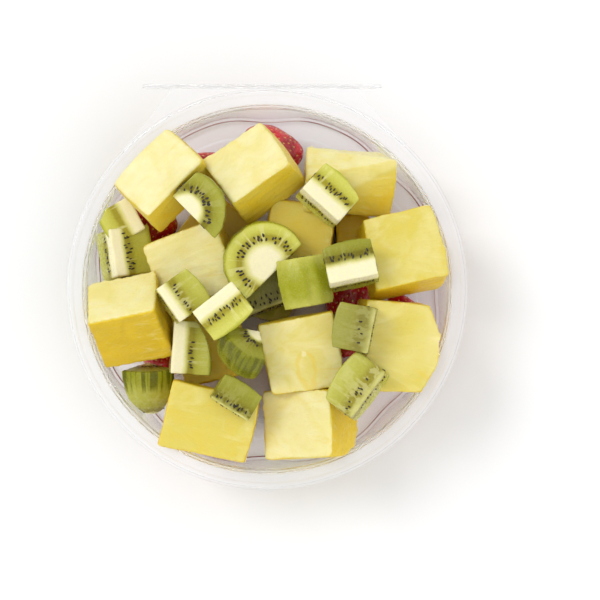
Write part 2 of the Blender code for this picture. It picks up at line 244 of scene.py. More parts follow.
class Recipe:
    """A node material that is put together step by step."""

    def __init__(self, name: str) -> None:
        """Start a material with an empty Principled shader.

        Args:
            name: The material's name.
        """
        self.material = bpy.data.materials.new(name)
        self.material.use_nodes = True
        self.tree = self.material.node_tree
        self.shader = self.tree.nodes["Principled BSDF"]
        self.output = self.tree.nodes["Material Output"]

    def node(self, kind: str, inputs: dict | None = None, **settings: object) -> bpy.types.Node:
        """Add a node.

        Args:
            kind: The node's type name.
            inputs: Values or sockets for its inputs, by name or number.
            settings: Values for its properties.

        Returns:
            The new node.
        """
        made = self.tree.nodes.new(kind)
        for key, value in settings.items():
            setattr(made, key, value)
        for key, value in (inputs or {}).items():
            if isinstance(value, bpy.types.NodeSocket):
                self.tree.links.new(value, made.inputs[key])
            else:
                made.inputs[key].default_value = value
        return made

    def math(self, operation: str, *values: object) -> bpy.types.NodeSocket:
        """Add a Math node and return its result."""
        return self.node("ShaderNodeMath", dict(enumerate(values)), operation=operation).outputs[0]

    def times(self, value: object, *others: object) -> bpy.types.NodeSocket:
        """Multiply values.

        Args:
            value: The first value.
            others: What it is multiplied by.

        Returns:
            The product's socket.
        """
        for other in others:
            value = self.math("MULTIPLY", value, other)
        return value

    def split(self, vector: object) -> Sequence[bpy.types.NodeSocket]:
        """Take a vector apart into x, y and z."""
        return self.node("ShaderNodeSeparateXYZ", {0: vector}).outputs

    def length(self, vector: object) -> bpy.types.NodeSocket:
        """Measure a vector."""
        return self.node("ShaderNodeVectorMath", {0: vector}, operation="LENGTH").outputs["Value"]

    def attribute(self, name: str) -> bpy.types.NodeSocket:
        """Read a vector that was stored at the piece's points."""
        made = self.node("ShaderNodeAttribute", attribute_name=name)
        return made.outputs["Vector"]

    def place(self) -> bpy.types.NodeSocket:
        """Read Object coordinates."""
        return self.node("ShaderNodeTexCoord").outputs["Object"]

    def scaled(self, vector: object, scale: Sequence[float]) -> bpy.types.NodeSocket:
        """Stretch a vector along its axes."""
        made = self.node("ShaderNodeMapping", {"Vector": vector, "Scale": tuple(scale)})
        return made.outputs[0]

    def noise(self, vector: object, scale: float, detail: float = 2.0, rough: float = 0.5,
              warp: float = 0.0) -> bpy.types.NodeSocket:
        """Read smooth noise, from 0 to 1.

        Args:
            vector: Where it is read.
            scale: Bumps for each unit of the vector.
            detail: The number of finer layers.
            rough: The strength of the finer layers.
            warp: How far the bumps are twisted.

        Returns:
            The value's socket.
        """
        inputs = {"Vector": vector, "Scale": scale, "Detail": detail, "Roughness": rough}
        inputs["Distortion"] = warp
        return self.node("ShaderNodeTexNoise", inputs).outputs[0]

    def band(self, value: object, low: float, high: float, start: float = 0.0,
             end: float = 1.0) -> bpy.types.NodeSocket:
        """Map a value smoothly from one range to another, held at its ends.

        Args:
            value: The socket to read.
            low: The value that gives start.
            high: The value that gives end.
            start: The result at low.
            end: The result at high.

        Returns:
            The mapped value's socket.
        """
        inputs = {0: value, 1: low, 2: high, 3: start, 4: end}
        made = self.node("ShaderNodeMapRange", inputs, interpolation_type="SMOOTHSTEP")
        return made.outputs[0]

    def ramp(self, value: object, stops: Stops) -> bpy.types.NodeSocket:
        """Turn a value into a colour.

        Args:
            value: The socket to read.
            stops: Positions from 0 to 1 with their colours.

        Returns:
            The colour's socket.
        """
        made = self.node("ShaderNodeValToRGB", {0: value})
        steps = made.color_ramp.elements
        while len(steps) < len(stops):
            steps.new(0.5)
        for step, (position, colour) in zip(steps, stops):
            step.position = position
            step.color = (*colour, 1.0)
        return made.outputs[0]

    def mix(self, share: object, one: object, other: object,
            blend: str = "MIX") -> bpy.types.NodeSocket:
        """Mix two colours, either of them a socket or three numbers.

        Args:
            share: How much of the second one is mixed in.
            one: The first colour.
            other: The second colour.
            blend: The way they are mixed.

        Returns:
            The mixed colour's socket.
        """
        inputs = {0: share}
        for key, colour in ((6, one), (7, other)):
            plain = isinstance(colour, tuple)
            inputs[key] = (*colour, 1.0) if plain else colour
        made = self.node("ShaderNodeMix", inputs, data_type="RGBA", blend_type=blend)
        return made.outputs[2]

    def bump(self, height: object, distance: float, strength: float) -> bpy.types.NodeSocket:
        """Raise the surface by a height pattern of a depth in metres."""
        inputs = {"Height": height, "Distance": distance, "Strength": strength}
        return self.node("ShaderNodeBump", inputs).outputs[0]

    def set(self, **values: object) -> None:
        """Set or link the shader's inputs.

        Args:
            values: Values or sockets by the input's name, with _ for a space.
        """
        for key, value in values.items():
            socket = self.shader.inputs[key.replace("_", " ")]
            if isinstance(value, bpy.types.NodeSocket):
                self.tree.links.new(value, socket)
            elif isinstance(value, tuple) and len(value) == 3 and socket.type == "RGBA":
                socket.default_value = (*value, 1.0)
            else:
                socket.default_value = value


@dataclass(frozen=True)
class PineappleFlesh:
    """Cut pineapple: pale to deep yellow, with fibres that run out from the core.

    Lengths are in millimetres, and a scale is a number of bumps for each millimetre.
    """

    pale: Colour = (0.84, 0.775, 0.42)
    creamy: Colour = (0.79, 0.70, 0.27)
    middle: Colour = (0.71, 0.595, 0.115)
    deep: Colour = (0.78, 0.55, 0.02)
    amber: Colour = (0.62, 0.42, 0.012)
    fibre: Colour = (0.86, 0.78, 0.36)
    tones: float = 1.5
    cloud_scale: float = 0.07
    cloud_depth: float = 0.13
    fibre_scale: Sequence[float] = (0.06, 0.42, 0.42)
    cell_scale: Sequence[float] = (0.4, 1.0, 1.0)
    eye_reach: float = 10.0
    eye_turns: float = 1.3
    eye_depth: float = 0.4
    fleck_place: Sequence[float] = (0.0, 4.2, 0.0)
    fleck_reach: float = 3.2
    relief: float = 0.6

    def material(self) -> bpy.types.Material:
        """Build the material.

        It reads the grain in millimetres, the finish (tone with painted light and shade, strength of
        the streaks) and the place beside the piece's eye.

        Returns:
            The material.
        """
        mix = Recipe("pineapple_flesh")
        grain = mix.attribute("grain")
        finish = mix.split(mix.attribute("finish"))
        clouds = mix.noise(grain, self.cloud_scale, 3.0, 0.5, 0.8)
        # The tone carries each block's painted light and shade, with random clouds on top.
        tone_and_painted_light = mix.math("ADD", finish[0], mix.band(clouds, 0.25, 0.75, -self.cloud_depth, self.cloud_depth))
        shades = (self.pale, self.creamy, self.middle, self.deep, self.amber)
        stops = list(zip((0.0, 0.17, 0.33, 0.67, 1.0), shades))
        colour = mix.ramp(mix.math("DIVIDE", tone_and_painted_light, self.tones), stops)
        along = mix.noise(mix.scaled(grain, self.fibre_scale), 1.0, 3.0, 0.6, 0.8)
        colour = mix.mix(mix.times(mix.band(along, 0.52, 0.7), finish[1]), colour, self.fibre)
        colour = mix.mix(mix.times(mix.band(along, 0.44, 0.28), finish[1]), colour, self.deep)
        beside = mix.attribute("eye")
        reach = mix.math("MULTIPLY_ADD", mix.noise(grain, 0.25), 3.0, mix.length(beside))
        arcs = mix.band(mix.math("SINE", mix.times(reach, self.eye_turns)), -0.4, 1.0)
        near = mix.band(reach, self.eye_reach, self.eye_reach * 0.7)
        colour = mix.mix(mix.times(arcs, near, self.eye_depth), colour, self.deep)
        crown = mix.node("ShaderNodeVectorMath", {0: beside, 1: self.fleck_place}, operation="DISTANCE")
        fleck = mix.math("MULTIPLY_ADD", mix.noise(grain, 0.9), 2.0, crown.outputs["Value"])
        fleck = mix.band(fleck, self.fleck_reach, self.fleck_reach - 1.2)
        colour = mix.mix(mix.times(fleck, 0.8), colour, self.pale)
        cells = mix.noise(mix.scaled(grain, self.cell_scale), 1.3, 3.0, 0.65)
        raised = mix.math("MULTIPLY_ADD", along, 0.6, mix.times(cells, 0.4))
        mix.set(
            Base_Color=colour,
            Roughness=mix.band(cells, 0.35, 0.7, 0.26, 0.5),
            Normal=mix.bump(raised, self.relief * MM, 0.55),
            Subsurface_Weight=0.3,
            Subsurface_Radius=(1.0, 0.6, 0.12),
            Subsurface_Scale=3.0 * MM,
            Specular_IOR_Level=0.28,
        )
        return mix.material


@dataclass(frozen=True)
class KiwiFlesh:
    """Kiwi in rings about its core line: cream core, seed ring, green flesh and skin side."""

    radius: float = SKIN
    core: Colour = (0.86, 0.80, 0.54)
    halo: Colour = (0.66, 0.63, 0.22)
    ring: Colour = (0.34, 0.29, 0.02)
    flesh: Colour = (0.50, 0.475, 0.065)
    outer: Colour = (0.60, 0.59, 0.12)
    skin: Colour = (0.38, 0.39, 0.015)
    ray: Colour = (0.80, 0.77, 0.38)
    # The dark tint that is multiplied in for the skin's stripes and for painted shade over a piece's flesh.
    stripe_and_shade_tint: Colour = (0.32, 0.325, 0.0)
    dull: Colour = (0.30, 0.28, 0.085)
    wave: float = 1.6
    rays: float = 8.5
    ray_depth: float = 0.5
    relief: float = 0.5

    def material(self) -> bpy.types.Material:
        """Build the material.

        It reads the core vector in millimetres, with the core as Z, and the finish (painted shade,
        dull and striped shares).

        Returns:
            The material.
        """
        mix = Recipe("kiwi_flesh")
        core = mix.attribute("core")
        split = mix.split(core)
        flat = mix.node("ShaderNodeCombineXYZ", {0: split[0], 1: split[1]}).outputs[0]
        reach = mix.length(flat)
        angle = mix.math("ARCTAN2", split[1], split[0])
        inward = mix.math("SUBTRACT", reach, self.wave / 2)
        waved = mix.math("MULTIPLY_ADD", mix.noise(core, 0.22), self.wave, inward)
        share = mix.math("DIVIDE", waved, self.radius)
        stops = (
            (0.27, self.core), (0.36, self.halo), (0.43, self.ring), (0.53, self.ring),
            (0.62, self.flesh), (0.80, self.outer), (0.90, self.outer), (0.985, self.skin),
        )
        colour = mix.ramp(share, stops)
        turns = {0: mix.times(angle, self.rays), 1: split[2], 2: mix.times(reach, 0.05)}
        spread = mix.node("ShaderNodeCombineXYZ", turns).outputs[0]
        rays = mix.noise(mix.scaled(spread, (1.0, 0.5, 1.0)), 0.7, 2.0, 0.55)
        lines = mix.band(rays, 0.5, 0.6)
        inside = mix.times(mix.band(share, 0.36, 0.42), mix.band(share, 0.74, 0.56), self.ray_depth)
        colour = mix.mix(mix.times(lines, inside), colour, self.ray)
        faint = mix.times(mix.band(share, 0.62, 0.74, 0.0, 0.3), mix.band(share, 0.92, 0.84))
        colour = mix.mix(mix.times(lines, faint), colour, self.ray)
        cells = mix.noise(core, 0.9, 3.0, 0.6)
        colour = mix.mix(mix.band(cells, 0.3, 0.75, 0.0, 0.22), colour, self.halo, "SOFT_LIGHT")
        specks = mix.times(mix.band(mix.noise(core, 2.2, 1.0), 0.62, 0.74), mix.band(share, 0.9, 0.97), 0.5)
        colour = mix.mix(specks, colour, self.ray)
        finish = mix.split(mix.attribute("finish"))
        strips = mix.noise(mix.scaled(spread, (1.3, 0.05, 1.0)), 0.8)
        stripes = mix.times(mix.band(strips, 0.58, 0.42), mix.band(share, 0.86, 0.95), finish[2])
        # Multiply in the dark tint: stripes near the skin, and each piece's share of painted shade outside
        # the core.
        for stripe_and_shade_tint in (stripes, mix.times(finish[0], mix.band(share, 0.3, 0.44))):
            colour = mix.mix(stripe_and_shade_tint, colour, mix.mix(1.0, colour, self.stripe_and_shade_tint, "MULTIPLY"))
        colour = mix.mix(finish[1], colour, self.dull)
        ribs = mix.noise(spread, 0.3, 3.0)
        raised = mix.math("MULTIPLY_ADD", ribs, 0.5, mix.times(cells, 0.5))
        mix.set(
            Base_Color=colour,
            Roughness=mix.band(cells, 0.3, 0.7, 0.18, 0.4),
            Normal=mix.bump(raised, self.relief * MM, 0.6),
            Subsurface_Weight=0.3,
            Subsurface_Radius=(1.0, 0.9, 0.12),
            Subsurface_Scale=2.5 * MM,
            Specular_IOR_Level=0.24,
        )
        return mix.material


@dataclass(frozen=True)
class StrawberryFlesh:
    """Strawberry skin, paler at the shoulder and inside, deep red elsewhere."""

    deep: Colour = (0.36, 0.004, 0.012)
    red: Colour = (0.60, 0.012, 0.020)
    pale: Colour = (0.85, 0.30, 0.16)

    def material(self) -> bpy.types.Material:
        """Build the material. It reads the tip vector in millimetres, with the tip at +X.

        Returns:
            The material.
        """
        mix = Recipe("strawberry_flesh")
        tip = mix.attribute("tip")
        blotch = mix.noise(tip, 0.12, 3.0, 0.55)
        colour = mix.mix(mix.band(blotch, 0.35, 0.65), self.deep, self.red)
        shoulder = mix.math("ADD", mix.split(tip)[0], mix.times(blotch, 6.0))
        colour = mix.mix(mix.band(shoulder, -10.0, -14.0, 0.0, 0.8), colour, self.pale)
        cells = mix.noise(tip, 1.3, 2.0, 0.6)
        mix.set(
            Base_Color=colour,
            Roughness=mix.band(cells, 0.3, 0.7, 0.2, 0.36),
            Normal=mix.bump(cells, 0.25 * MM, 0.5),
            Subsurface_Weight=0.25,
            Subsurface_Radius=(1.0, 0.12, 0.08),
            Subsurface_Scale=2.5 * MM,
            Coat_Weight=0.3,
            Coat_Roughness=0.15,
        )
        return mix.material


@dataclass(frozen=True)
class SeedCoat:
    """Hard little seeds, in one colour range."""

    name: str
    dark: Colour
    light: Colour
    roughness: float

    def material(self) -> bpy.types.Material:
        """Build the material.

        Returns:
            The material.
        """
        mix = Recipe(self.name)
        grain = mix.noise(mix.place(), 420.0, 2.0, 0.6)
        mix.set(
            Base_Color=mix.mix(mix.band(grain, 0.35, 0.65), self.dark, self.light),
            Roughness=self.roughness,
            Normal=mix.bump(mix.noise(mix.place(), 2600.0), 0.05 * MM, 0.4),
        )
        return mix.material


@dataclass(frozen=True)
class ClearSheet:
    """Thin formed sheet, clear, with a faint white haze."""

    tint: Colour = (0.955, 0.955, 0.96)
    shade: Colour = (0.98, 0.98, 0.983)
    haze: Colour = (1.0, 1.0, 1.0)
    name: str = "clear_sheet"
    clear: float = 0.85
    bend: float = 1.06
    roughness: float = 0.1

    def material(self) -> bpy.types.Material:
        """Build the material. Light on its way to what is behind passes straight through it.

        Returns:
            The material.
        """
        mix = Recipe(self.name)
        flow = mix.noise(mix.scaled(mix.place(), (1.0, 1.0, 3.0)), 45.0, 2.0)
        mix.set(
            Base_Color=self.tint,
            Roughness=self.roughness,
            IOR=self.bend,
            Transmission_Weight=self.clear,
            Normal=mix.bump(flow, 0.15 * MM, 0.05),
        )
        path = mix.node("ShaderNodeLightPath").outputs
        seen = mix.shader.outputs[0]
        for ray, colour in (("Is Diffuse Ray", self.haze), ("Is Shadow Ray", self.shade)):
            through = mix.node("ShaderNodeBsdfTransparent", {0: (*colour, 1.0)}).outputs[0]
            seen = mix.node("ShaderNodeMixShader", {0: path[ray], 1: seen, 2: through}).outputs[0]
        mix.tree.links.new(seen, mix.output.inputs["Surface"])
        return mix.material


@dataclass(frozen=True)
class PaintedRefraction:
    """A thin line painted with the strawberries' red that the wall refracts, brown-red in patches and nearly
    clear elsewhere.
    """

    deep: Colour = (0.23, 0.055, 0.045)
    thin: Colour = (0.58, 0.46, 0.43)

    def material(self) -> bpy.types.Material:
        """Build the material.

        Returns:
            The material.
        """
        mix = Recipe("painted_refraction")
        # Brown-red patches of the painted refraction, nearly clear between them.
        depth = mix.noise(mix.place(), 16.0, 2.0, 0.6)
        mix.set(
            Base_Color=mix.mix(mix.band(depth, 0.42, 0.6), self.deep, self.thin),
            Roughness=0.12,
            Normal=mix.bump(mix.noise(mix.place(), 300.0), 0.1 * MM, 0.3),
        )
        return mix.material


# Fruit


class Up(Enum):
    """Which side of a wedge of kiwi lies uppermost."""

    FACE = "face"
    SKIN = "skin"
    END = "end"


def leaning(lean_to: float, lean: float) -> Matrix:
    """Rotation that tips the upward direction towards a compass angle, in degrees."""
    way = math.radians(lean_to)
    return Matrix.Rotation(math.radians(lean), 4, Vector((-math.sin(way), math.cos(way), 0)))


@dataclass
class Fruit:
    """One piece of fruit that stands for one solid of the frame.

    Its local frame is turned as the solid is, and found from the solid's own points.
    """

    node: str
    heading: float
    grow: tuple[float, float, float] = (1.03, 1.03, 1.03)
    shift: tuple[float, float, float] = (0.0, 0.0, 0.0)
    splay: tuple[float, float] = (0.0, 0.0)
    tip_to: float = 0.0
    tip: float = 0.0
    seed: int = 0

    def turn(self) -> Matrix:
        """The rotation of the piece's local frame."""
        raise NotImplementedError

    def origin(self, low: np.ndarray, high: np.ndarray) -> np.ndarray:
        """The local frame's origin, from the solid's extents along the turned axes."""
        raise NotImplementedError

    def measure(self, solid: bpy.types.Object) -> None:
        """Find the local frame and the solid's extents in it, in metres.

        Args:
            solid: The frame's solid, or a copy of it.
        """
        self.matrix = np.array(self.turn().to_3x3())
        places = Bench.points(solid)
        self.top, self.span = float(places[:, 2].max()), float(np.ptp(places[:, 2]))
        rows = places @ self.matrix
        middle = self.origin(rows.min(0), rows.max(0))
        self.low, self.high = rows.min(0) - middle, rows.max(0) - middle
        self.middle = middle

    def local(self, rows: np.ndarray) -> np.ndarray:
        """Turn places in the frame into the piece's own places."""
        return rows @ self.matrix - self.middle

    def placed(self, rows: np.ndarray) -> np.ndarray:
        """Turn the piece's own places into places in the frame.

        The piece is grown, tipped and shifted a little, its foot is splayed, and it is pressed
        flat where it meets the bowl's wall.

        Args:
            rows: The piece's own places, in metres.

        Returns:
            The places in the frame.
        """
        centre = (self.low + self.high) / 2
        tip = np.array(leaning(self.tip_to, self.tip).to_3x3())
        turned = (rows - centre) * self.grow @ (tip @ self.matrix).T
        found = turned + (centre + self.middle) @ self.matrix.T + np.array(self.shift) * MM
        depth = (self.top - found[:, 2]) / self.span
        found[:, :2] += np.clip(depth, 0, 1)[:, None] * np.array(self.splay) * MM
        return Bowl().kept_inside(found)


@dataclass
class PineappleBlock(Fruit):
    """A block of pineapple. Its grain runs out from the core, which lies off its -X side.

    Each kind of bump has a width and a height, in millimetres.
    """

    lean_to: float = 0.0
    lean: float = 0.0
    # The block's own ripeness plus painted light and shade: paler or deeper to match how lit or shaded the
    # block is.
    tone_and_painted_light: float = 0.4
    streaks: float = 0.25
    # How much deeper the colour is on facets that don't face up: painted shade on the block's sides.
    sides: float = 0.7
    ridge: tuple[float, float, float] | None = None
    eye: tuple[float, float] | None = None
    coarse: float = 1.0
    core_distance: float = 38.0
    swells: tuple[float, float] = (14.0, 0.6)
    strings: tuple[float, float] = (2.6, 0.16)
    crumbs: tuple[float, float] = (1.5, 0.08)
    torn_edge: tuple[float, float] = (2.4, 1.9)
    no_eye: float = 200.0
    face: float = 0.95

    def turn(self) -> Matrix:
        """The rotation of the block."""
        heading = Matrix.Rotation(math.radians(self.heading), 4, "Z")
        return leaning(self.lean_to, self.lean) @ heading

    def origin(self, low: np.ndarray, high: np.ndarray) -> np.ndarray:
        """The middle of the block's top."""
        return np.array(((low[0] + high[0]) / 2, (low[1] + high[1]) / 2, high[2]))

    def build(self, solid: bpy.types.Object, material: bpy.types.Material) -> bpy.types.Object:
        """Model the block.

        Args:
            solid: The frame's solid.
            material: The flesh.

        Returns:
            The finished piece.
        """
        piece = Bench.copy_of(solid, self.node + "_flesh")
        self.measure(piece)
        Bench.remesh(piece, self.face * MM)
        Bench.smooth(piece, 0.5, 1)
        own = self.local(Bench.points(piece))
        out = Bench.normals(piece) @ self.matrix
        depth = ripple(own, self.swells[0] * MM, self.seed) * self.swells[1]
        strings = ripple(own * (0.3, 1.0, 1.0), self.strings[0] * MM, self.seed + 20)
        depth += strings * (self.strings[1] + 0.3 * self.streaks)
        depth += ripple(own, self.crumbs[0] * MM, self.seed + 40) * self.crumbs[1]
        torn = ripple(own, self.torn_edge[0] * MM, self.seed + 60) + 1
        depth += torn * self.torn_edge[1] * (1 - np.abs(out).max(1))
        own += out * depth[:, None] * MM
        # Deeper colour on facets that don't face up is painted shade on the sides.
        tone_and_painted_light = self.tone_and_painted_light + self.sides * np.clip((0.74 - out[:, 2]) / 0.3, 0, 1)
        # Past a ridge the colour deepens: painted shade on the face that tips away.
        if self.ridge:
            tone_and_painted_light += self.raise_ridge(own)
        Bench.move_points(piece, self.placed(own))
        grain = self.grain(own / MM)
        streaks = self.streaks * np.clip((grain[:, 0] - self.grain_start()) / 8.0, 0.3, 1.0)
        Bench.note(piece, "grain", grain)
        Bench.note(piece, "finish", np.stack((tone_and_painted_light, streaks, np.zeros(len(own))), axis=1))
        spot = (*self.eye, 0.0) if self.eye else (0.0, 0.0, self.no_eye)
        beside = own / MM - np.array(spot)
        beside[:, 1] *= np.where(beside[:, 1] < 0, 0.3, 1.0)
        Bench.note(piece, "eye", beside)
        piece.data.materials.append(material)
        Bench.shade(piece)
        return piece

    def grain_start(self) -> float:
        """Where along the grain the streaks begin to gain strength."""
        return (self.core_distance + 2.0 + self.seed * GRAIN_SHIFT) / self.coarse

    def raise_ridge(self, own: np.ndarray) -> np.ndarray:
        """Let the top fall away on both sides of a ridge.

        Args:
            own: Places in the block, which are moved.

        Returns:
            How much deeper the colour is past the ridge: painted shade on the face that tips away.
        """
        way, near, far = self.ridge
        heading = math.radians(way)
        across = own[:, 0] * math.cos(heading) + own[:, 1] * math.sin(heading)
        height = (own[:, 2] + self.high[2] - self.low[2]) / (self.high[2] - self.low[2])
        fall = np.where(across > 0, far, -near) * across
        own[:, 2] -= fall * np.clip(height, 0, 1)
        return np.clip(across / MM / 3.0, 0, 1) * 0.3

    def grain(self, own: np.ndarray) -> np.ndarray:
        """Distance from the core, way round it and way along it, in millimetres.

        Args:
            own: Places in the block.

        Returns:
            The same places as the fibres lie.
        """
        across = own[:, 0] + self.core_distance
        reach = np.hypot(across, own[:, 1])
        round_it = np.arctan2(own[:, 1], across) * self.core_distance
        return (np.stack((reach, round_it, own[:, 2]), axis=1) + self.seed * GRAIN_SHIFT) / self.coarse


@dataclass
class KiwiWedge(Fruit):
    """A wedge or slice of peeled kiwi, with its core line along Z and its skin at +X.

    Lengths are in millimetres. The core line lies past the wedge's edge, short of one side or
    out of the wedge by a miss, and the seeds show on the part of its length that is seeded.
    """

    up: Up = Up.FACE
    angle: float = 90.0
    low_end: float = -12.0
    high_end: float = 12.0
    lean_to: float = 0.0
    lean: float = 0.0
    past: float = 0.0
    short: float | None = None
    ring: float = RING
    stretch: float = 1.0
    miss: float = 0.0
    shells: Sequence[float] = SEED_SHELLS
    seeded: tuple[float, float] = (-99.0, 99.0)
    soften: int = 1
    # Share of painted shade that darkens the piece outside its core.
    depth: float = 0.1
    dull: float = 0.0
    stripes: float = 0.0
    face: float = 0.75

    def turn(self) -> Matrix:
        """Find the rotation of the wedge.

        Returns:
            The rotation.
        """
        half = self.angle / 2
        heading = Matrix.Rotation(math.radians(self.heading), 4, "Z")
        quarter_x = Matrix.Rotation(math.radians(90), 4, "X")
        quarter_y = Matrix.Rotation(math.radians(90), 4, "Y")
        stand = {
            Up.FACE: quarter_x @ Matrix.Rotation(math.radians(-half), 4, "Z"),
            Up.SKIN: quarter_y @ Matrix.Rotation(math.pi, 4, "Z"),
            Up.END: Matrix.Identity(4),
        }[self.up]
        return leaning(self.lean_to, self.lean) @ heading @ stand

    def origin(self, low: np.ndarray, high: np.ndarray) -> np.ndarray:
        """Find the point where the core line passes the wedge's own zero.

        Args:
            low: The solid's least values along the turned axes.
            high: Its greatest values.

        Returns:
            The point.
        """
        middle = np.array(((low[0] + self.past * MM), (low[1] + high[1]) / 2, 0.0))
        if self.short is not None:
            middle[1] = high[1] - self.short * MM
        middle[2] = (low[2] + high[2]) / 2 - (self.low_end + self.high_end) / 2 * MM
        return middle

    def cuts(self) -> list[tuple[np.ndarray, np.ndarray]]:
        """List the flat cuts.

        Returns:
            A place on each cut, in metres, and the way it faces.
        """
        half = math.radians(self.angle / 2)
        edge = np.array((-self.past * MM, 0.0, 0.0))
        found = [
            (np.array((0, 0, self.high_end * MM)), np.array((0.0, 0.0, 1.0))),
            (np.array((0, 0, self.low_end * MM)), np.array((0.0, 0.0, -1.0))),
        ]
        sides = (1, -1) if self.angle < 180 else (1,)
        for side in sides:
            found.append((edge, np.array((-math.sin(half), side * math.cos(half), 0.0))))
        if self.short is not None:
            found.append((np.array((0, self.short * MM, 0.0)), np.array((0.0, 1.0, 0.0))))
        return found

    def build(self, solid: bpy.types.Object, material: bpy.types.Material) -> bpy.types.Object:
        """Model the wedge.

        Args:
            solid: The frame's solid.
            material: The flesh.

        Returns:
            The finished piece.
        """
        piece = Bench.copy_of(solid, self.node + "_flesh")
        self.measure(piece)
        Bench.remesh(piece, self.face * MM)
        Bench.smooth(piece, 0.5, self.soften)
        own = self.local(Bench.points(piece))
        out = Bench.normals(piece) @ self.matrix
        reach = np.hypot(own[:, 0], own[:, 1])
        self.radius = float(reach.max())
        outer = np.clip((reach / self.radius - 0.86) / 0.1, 0, 1) * (np.hypot(out[:, 0], out[:, 1]) > 0.5)
        around = np.arctan2(own[:, 1], own[:, 0])
        strips = np.stack((around * 9 * MM, own[:, 2] * 0.12, np.zeros(len(own))), axis=1)
        ribs = ripple(strips, 2.4 * MM, self.seed) * outer
        broad = ripple(own, 9 * MM, self.seed + 11)
        fine = ripple(own, 1.6 * MM, self.seed + 17)
        own += out * ((ribs * 0.55 + broad * 0.3 + fine * 0.06) * MM)[:, None]
        Bench.move_points(piece, self.placed(own))
        Bench.note(piece, "core", self.ringed(own / MM))
        Bench.note(piece, "finish", np.tile((self.depth, self.dull, self.stripes), (len(own), 1)))
        piece.data.materials.append(material)
        Bench.shade(piece)
        self.piece = piece
        return piece

    def ringed(self, own: np.ndarray) -> np.ndarray:
        """Squeeze places so that this fruit's seed ring and skin lie where the material has them.

        Args:
            own: Places in the wedge, in millimetres.

        Returns:
            The same places, with the ring at the usual radius.
        """
        rows = (own + (self.miss, 0.0, 0.0)) / (1.0, self.stretch, 1.0)
        reach = np.hypot(rows[:, 0], rows[:, 1])
        usual = np.interp(reach, (0.0, self.ring, self.radius / MM + self.miss), (0.0, RING, SKIN))
        rows[:, :2] *= (usual / np.maximum(reach, 0.01))[:, None]
        return rows

    def unringed(self, reach: float, angle: float, height: float) -> np.ndarray:
        """Find where a usual radius lies in this wedge.

        Args:
            reach: The usual radius, in millimetres.
            angle: The way round the core line.
            height: The way along it, in millimetres.

        Returns:
            The place, in metres.
        """
        own = np.interp(reach, (0.0, RING, SKIN), (0.0, self.ring, self.radius / MM + self.miss))
        across = math.cos(angle) * own - self.miss
        return np.array((across, math.sin(angle) * own * self.stretch, height)) * MM

    def seeds(self) -> list[Matrix]:
        """Find the seeds that the cuts pass through.

        Returns:
            A place for each, with its long side along X.
        """
        chance = random.Random(self.seed + 500)
        found = []
        rows = int((self.high_end - self.low_end + 4) / SEED_ROW)
        for shell in self.shells:
            count = int(math.tau * shell / SEED_PITCH)
            for row in range(rows):
                start = chance.uniform(0, math.tau)
                for step in range(count):
                    angle = start + math.tau * (step + chance.uniform(-0.25, 0.25)) / count
                    reach = shell + chance.uniform(-0.75, 0.75)
                    height = self.low_end - 2 + (row + chance.uniform(0.1, 0.9)) * SEED_ROW
                    spot = self.on_a_cut(self.unringed(reach, angle, height))
                    kept = self.seeded[0] < height < self.seeded[1]
                    if spot is None or not kept or chance.random() > SEED_SHARE:
                        continue
                    place = Vector(self.placed(spot[None, :])[0])
                    hit, surface, out, _ = self.piece.closest_point_on_mesh(place)
                    if hit and (surface - place).length < SEED_SLACK * MM:
                        found.append(self.seed_matrix(surface - out * SEED_SUNK * MM, angle, chance))
        return found

    def on_a_cut(self, place: np.ndarray) -> np.ndarray | None:
        """Find the nearest place on a cut, if a seed here would show there.

        Args:
            place: The seed's middle, in metres.

        Returns:
            The place on the cut, or None.
        """
        cuts = self.cuts()
        gaps = [float(np.dot(place - spot, way)) for spot, way in cuts]
        nearest = max(range(len(cuts)), key=lambda number: gaps[number])
        others = [gap for number, gap in enumerate(gaps) if number != nearest]
        at_the_cut = -SEED_UNDER * MM <= gaps[nearest] <= SEED_ABOVE * MM
        if not at_the_cut or max(others) > -SEED_MARGIN * MM:
            return None
        return place - cuts[nearest][1] * gaps[nearest]

    def seed_matrix(self, place: Vector, angle: float, chance: random.Random) -> Matrix:
        """Turn and size one seed so that it points at the core.

        Args:
            place: Where it lies in the frame.
            angle: Its way round the core line.
            chance: The wedge's own random numbers.

        Returns:
            The seed's place, turn and size.
        """
        size = chance.uniform(0.85, 1.15)
        turn = leaning(self.tip_to, self.tip) @ Matrix(self.matrix.tolist()).to_4x4()
        turn = turn @ Matrix.Rotation(angle + chance.uniform(-0.25, 0.25), 4, "Z")
        turn = turn @ Matrix.Rotation(chance.uniform(-0.3, 0.3), 4, "Y")
        return Matrix.Translation(place) @ turn @ Matrix.Scale(size, 4)


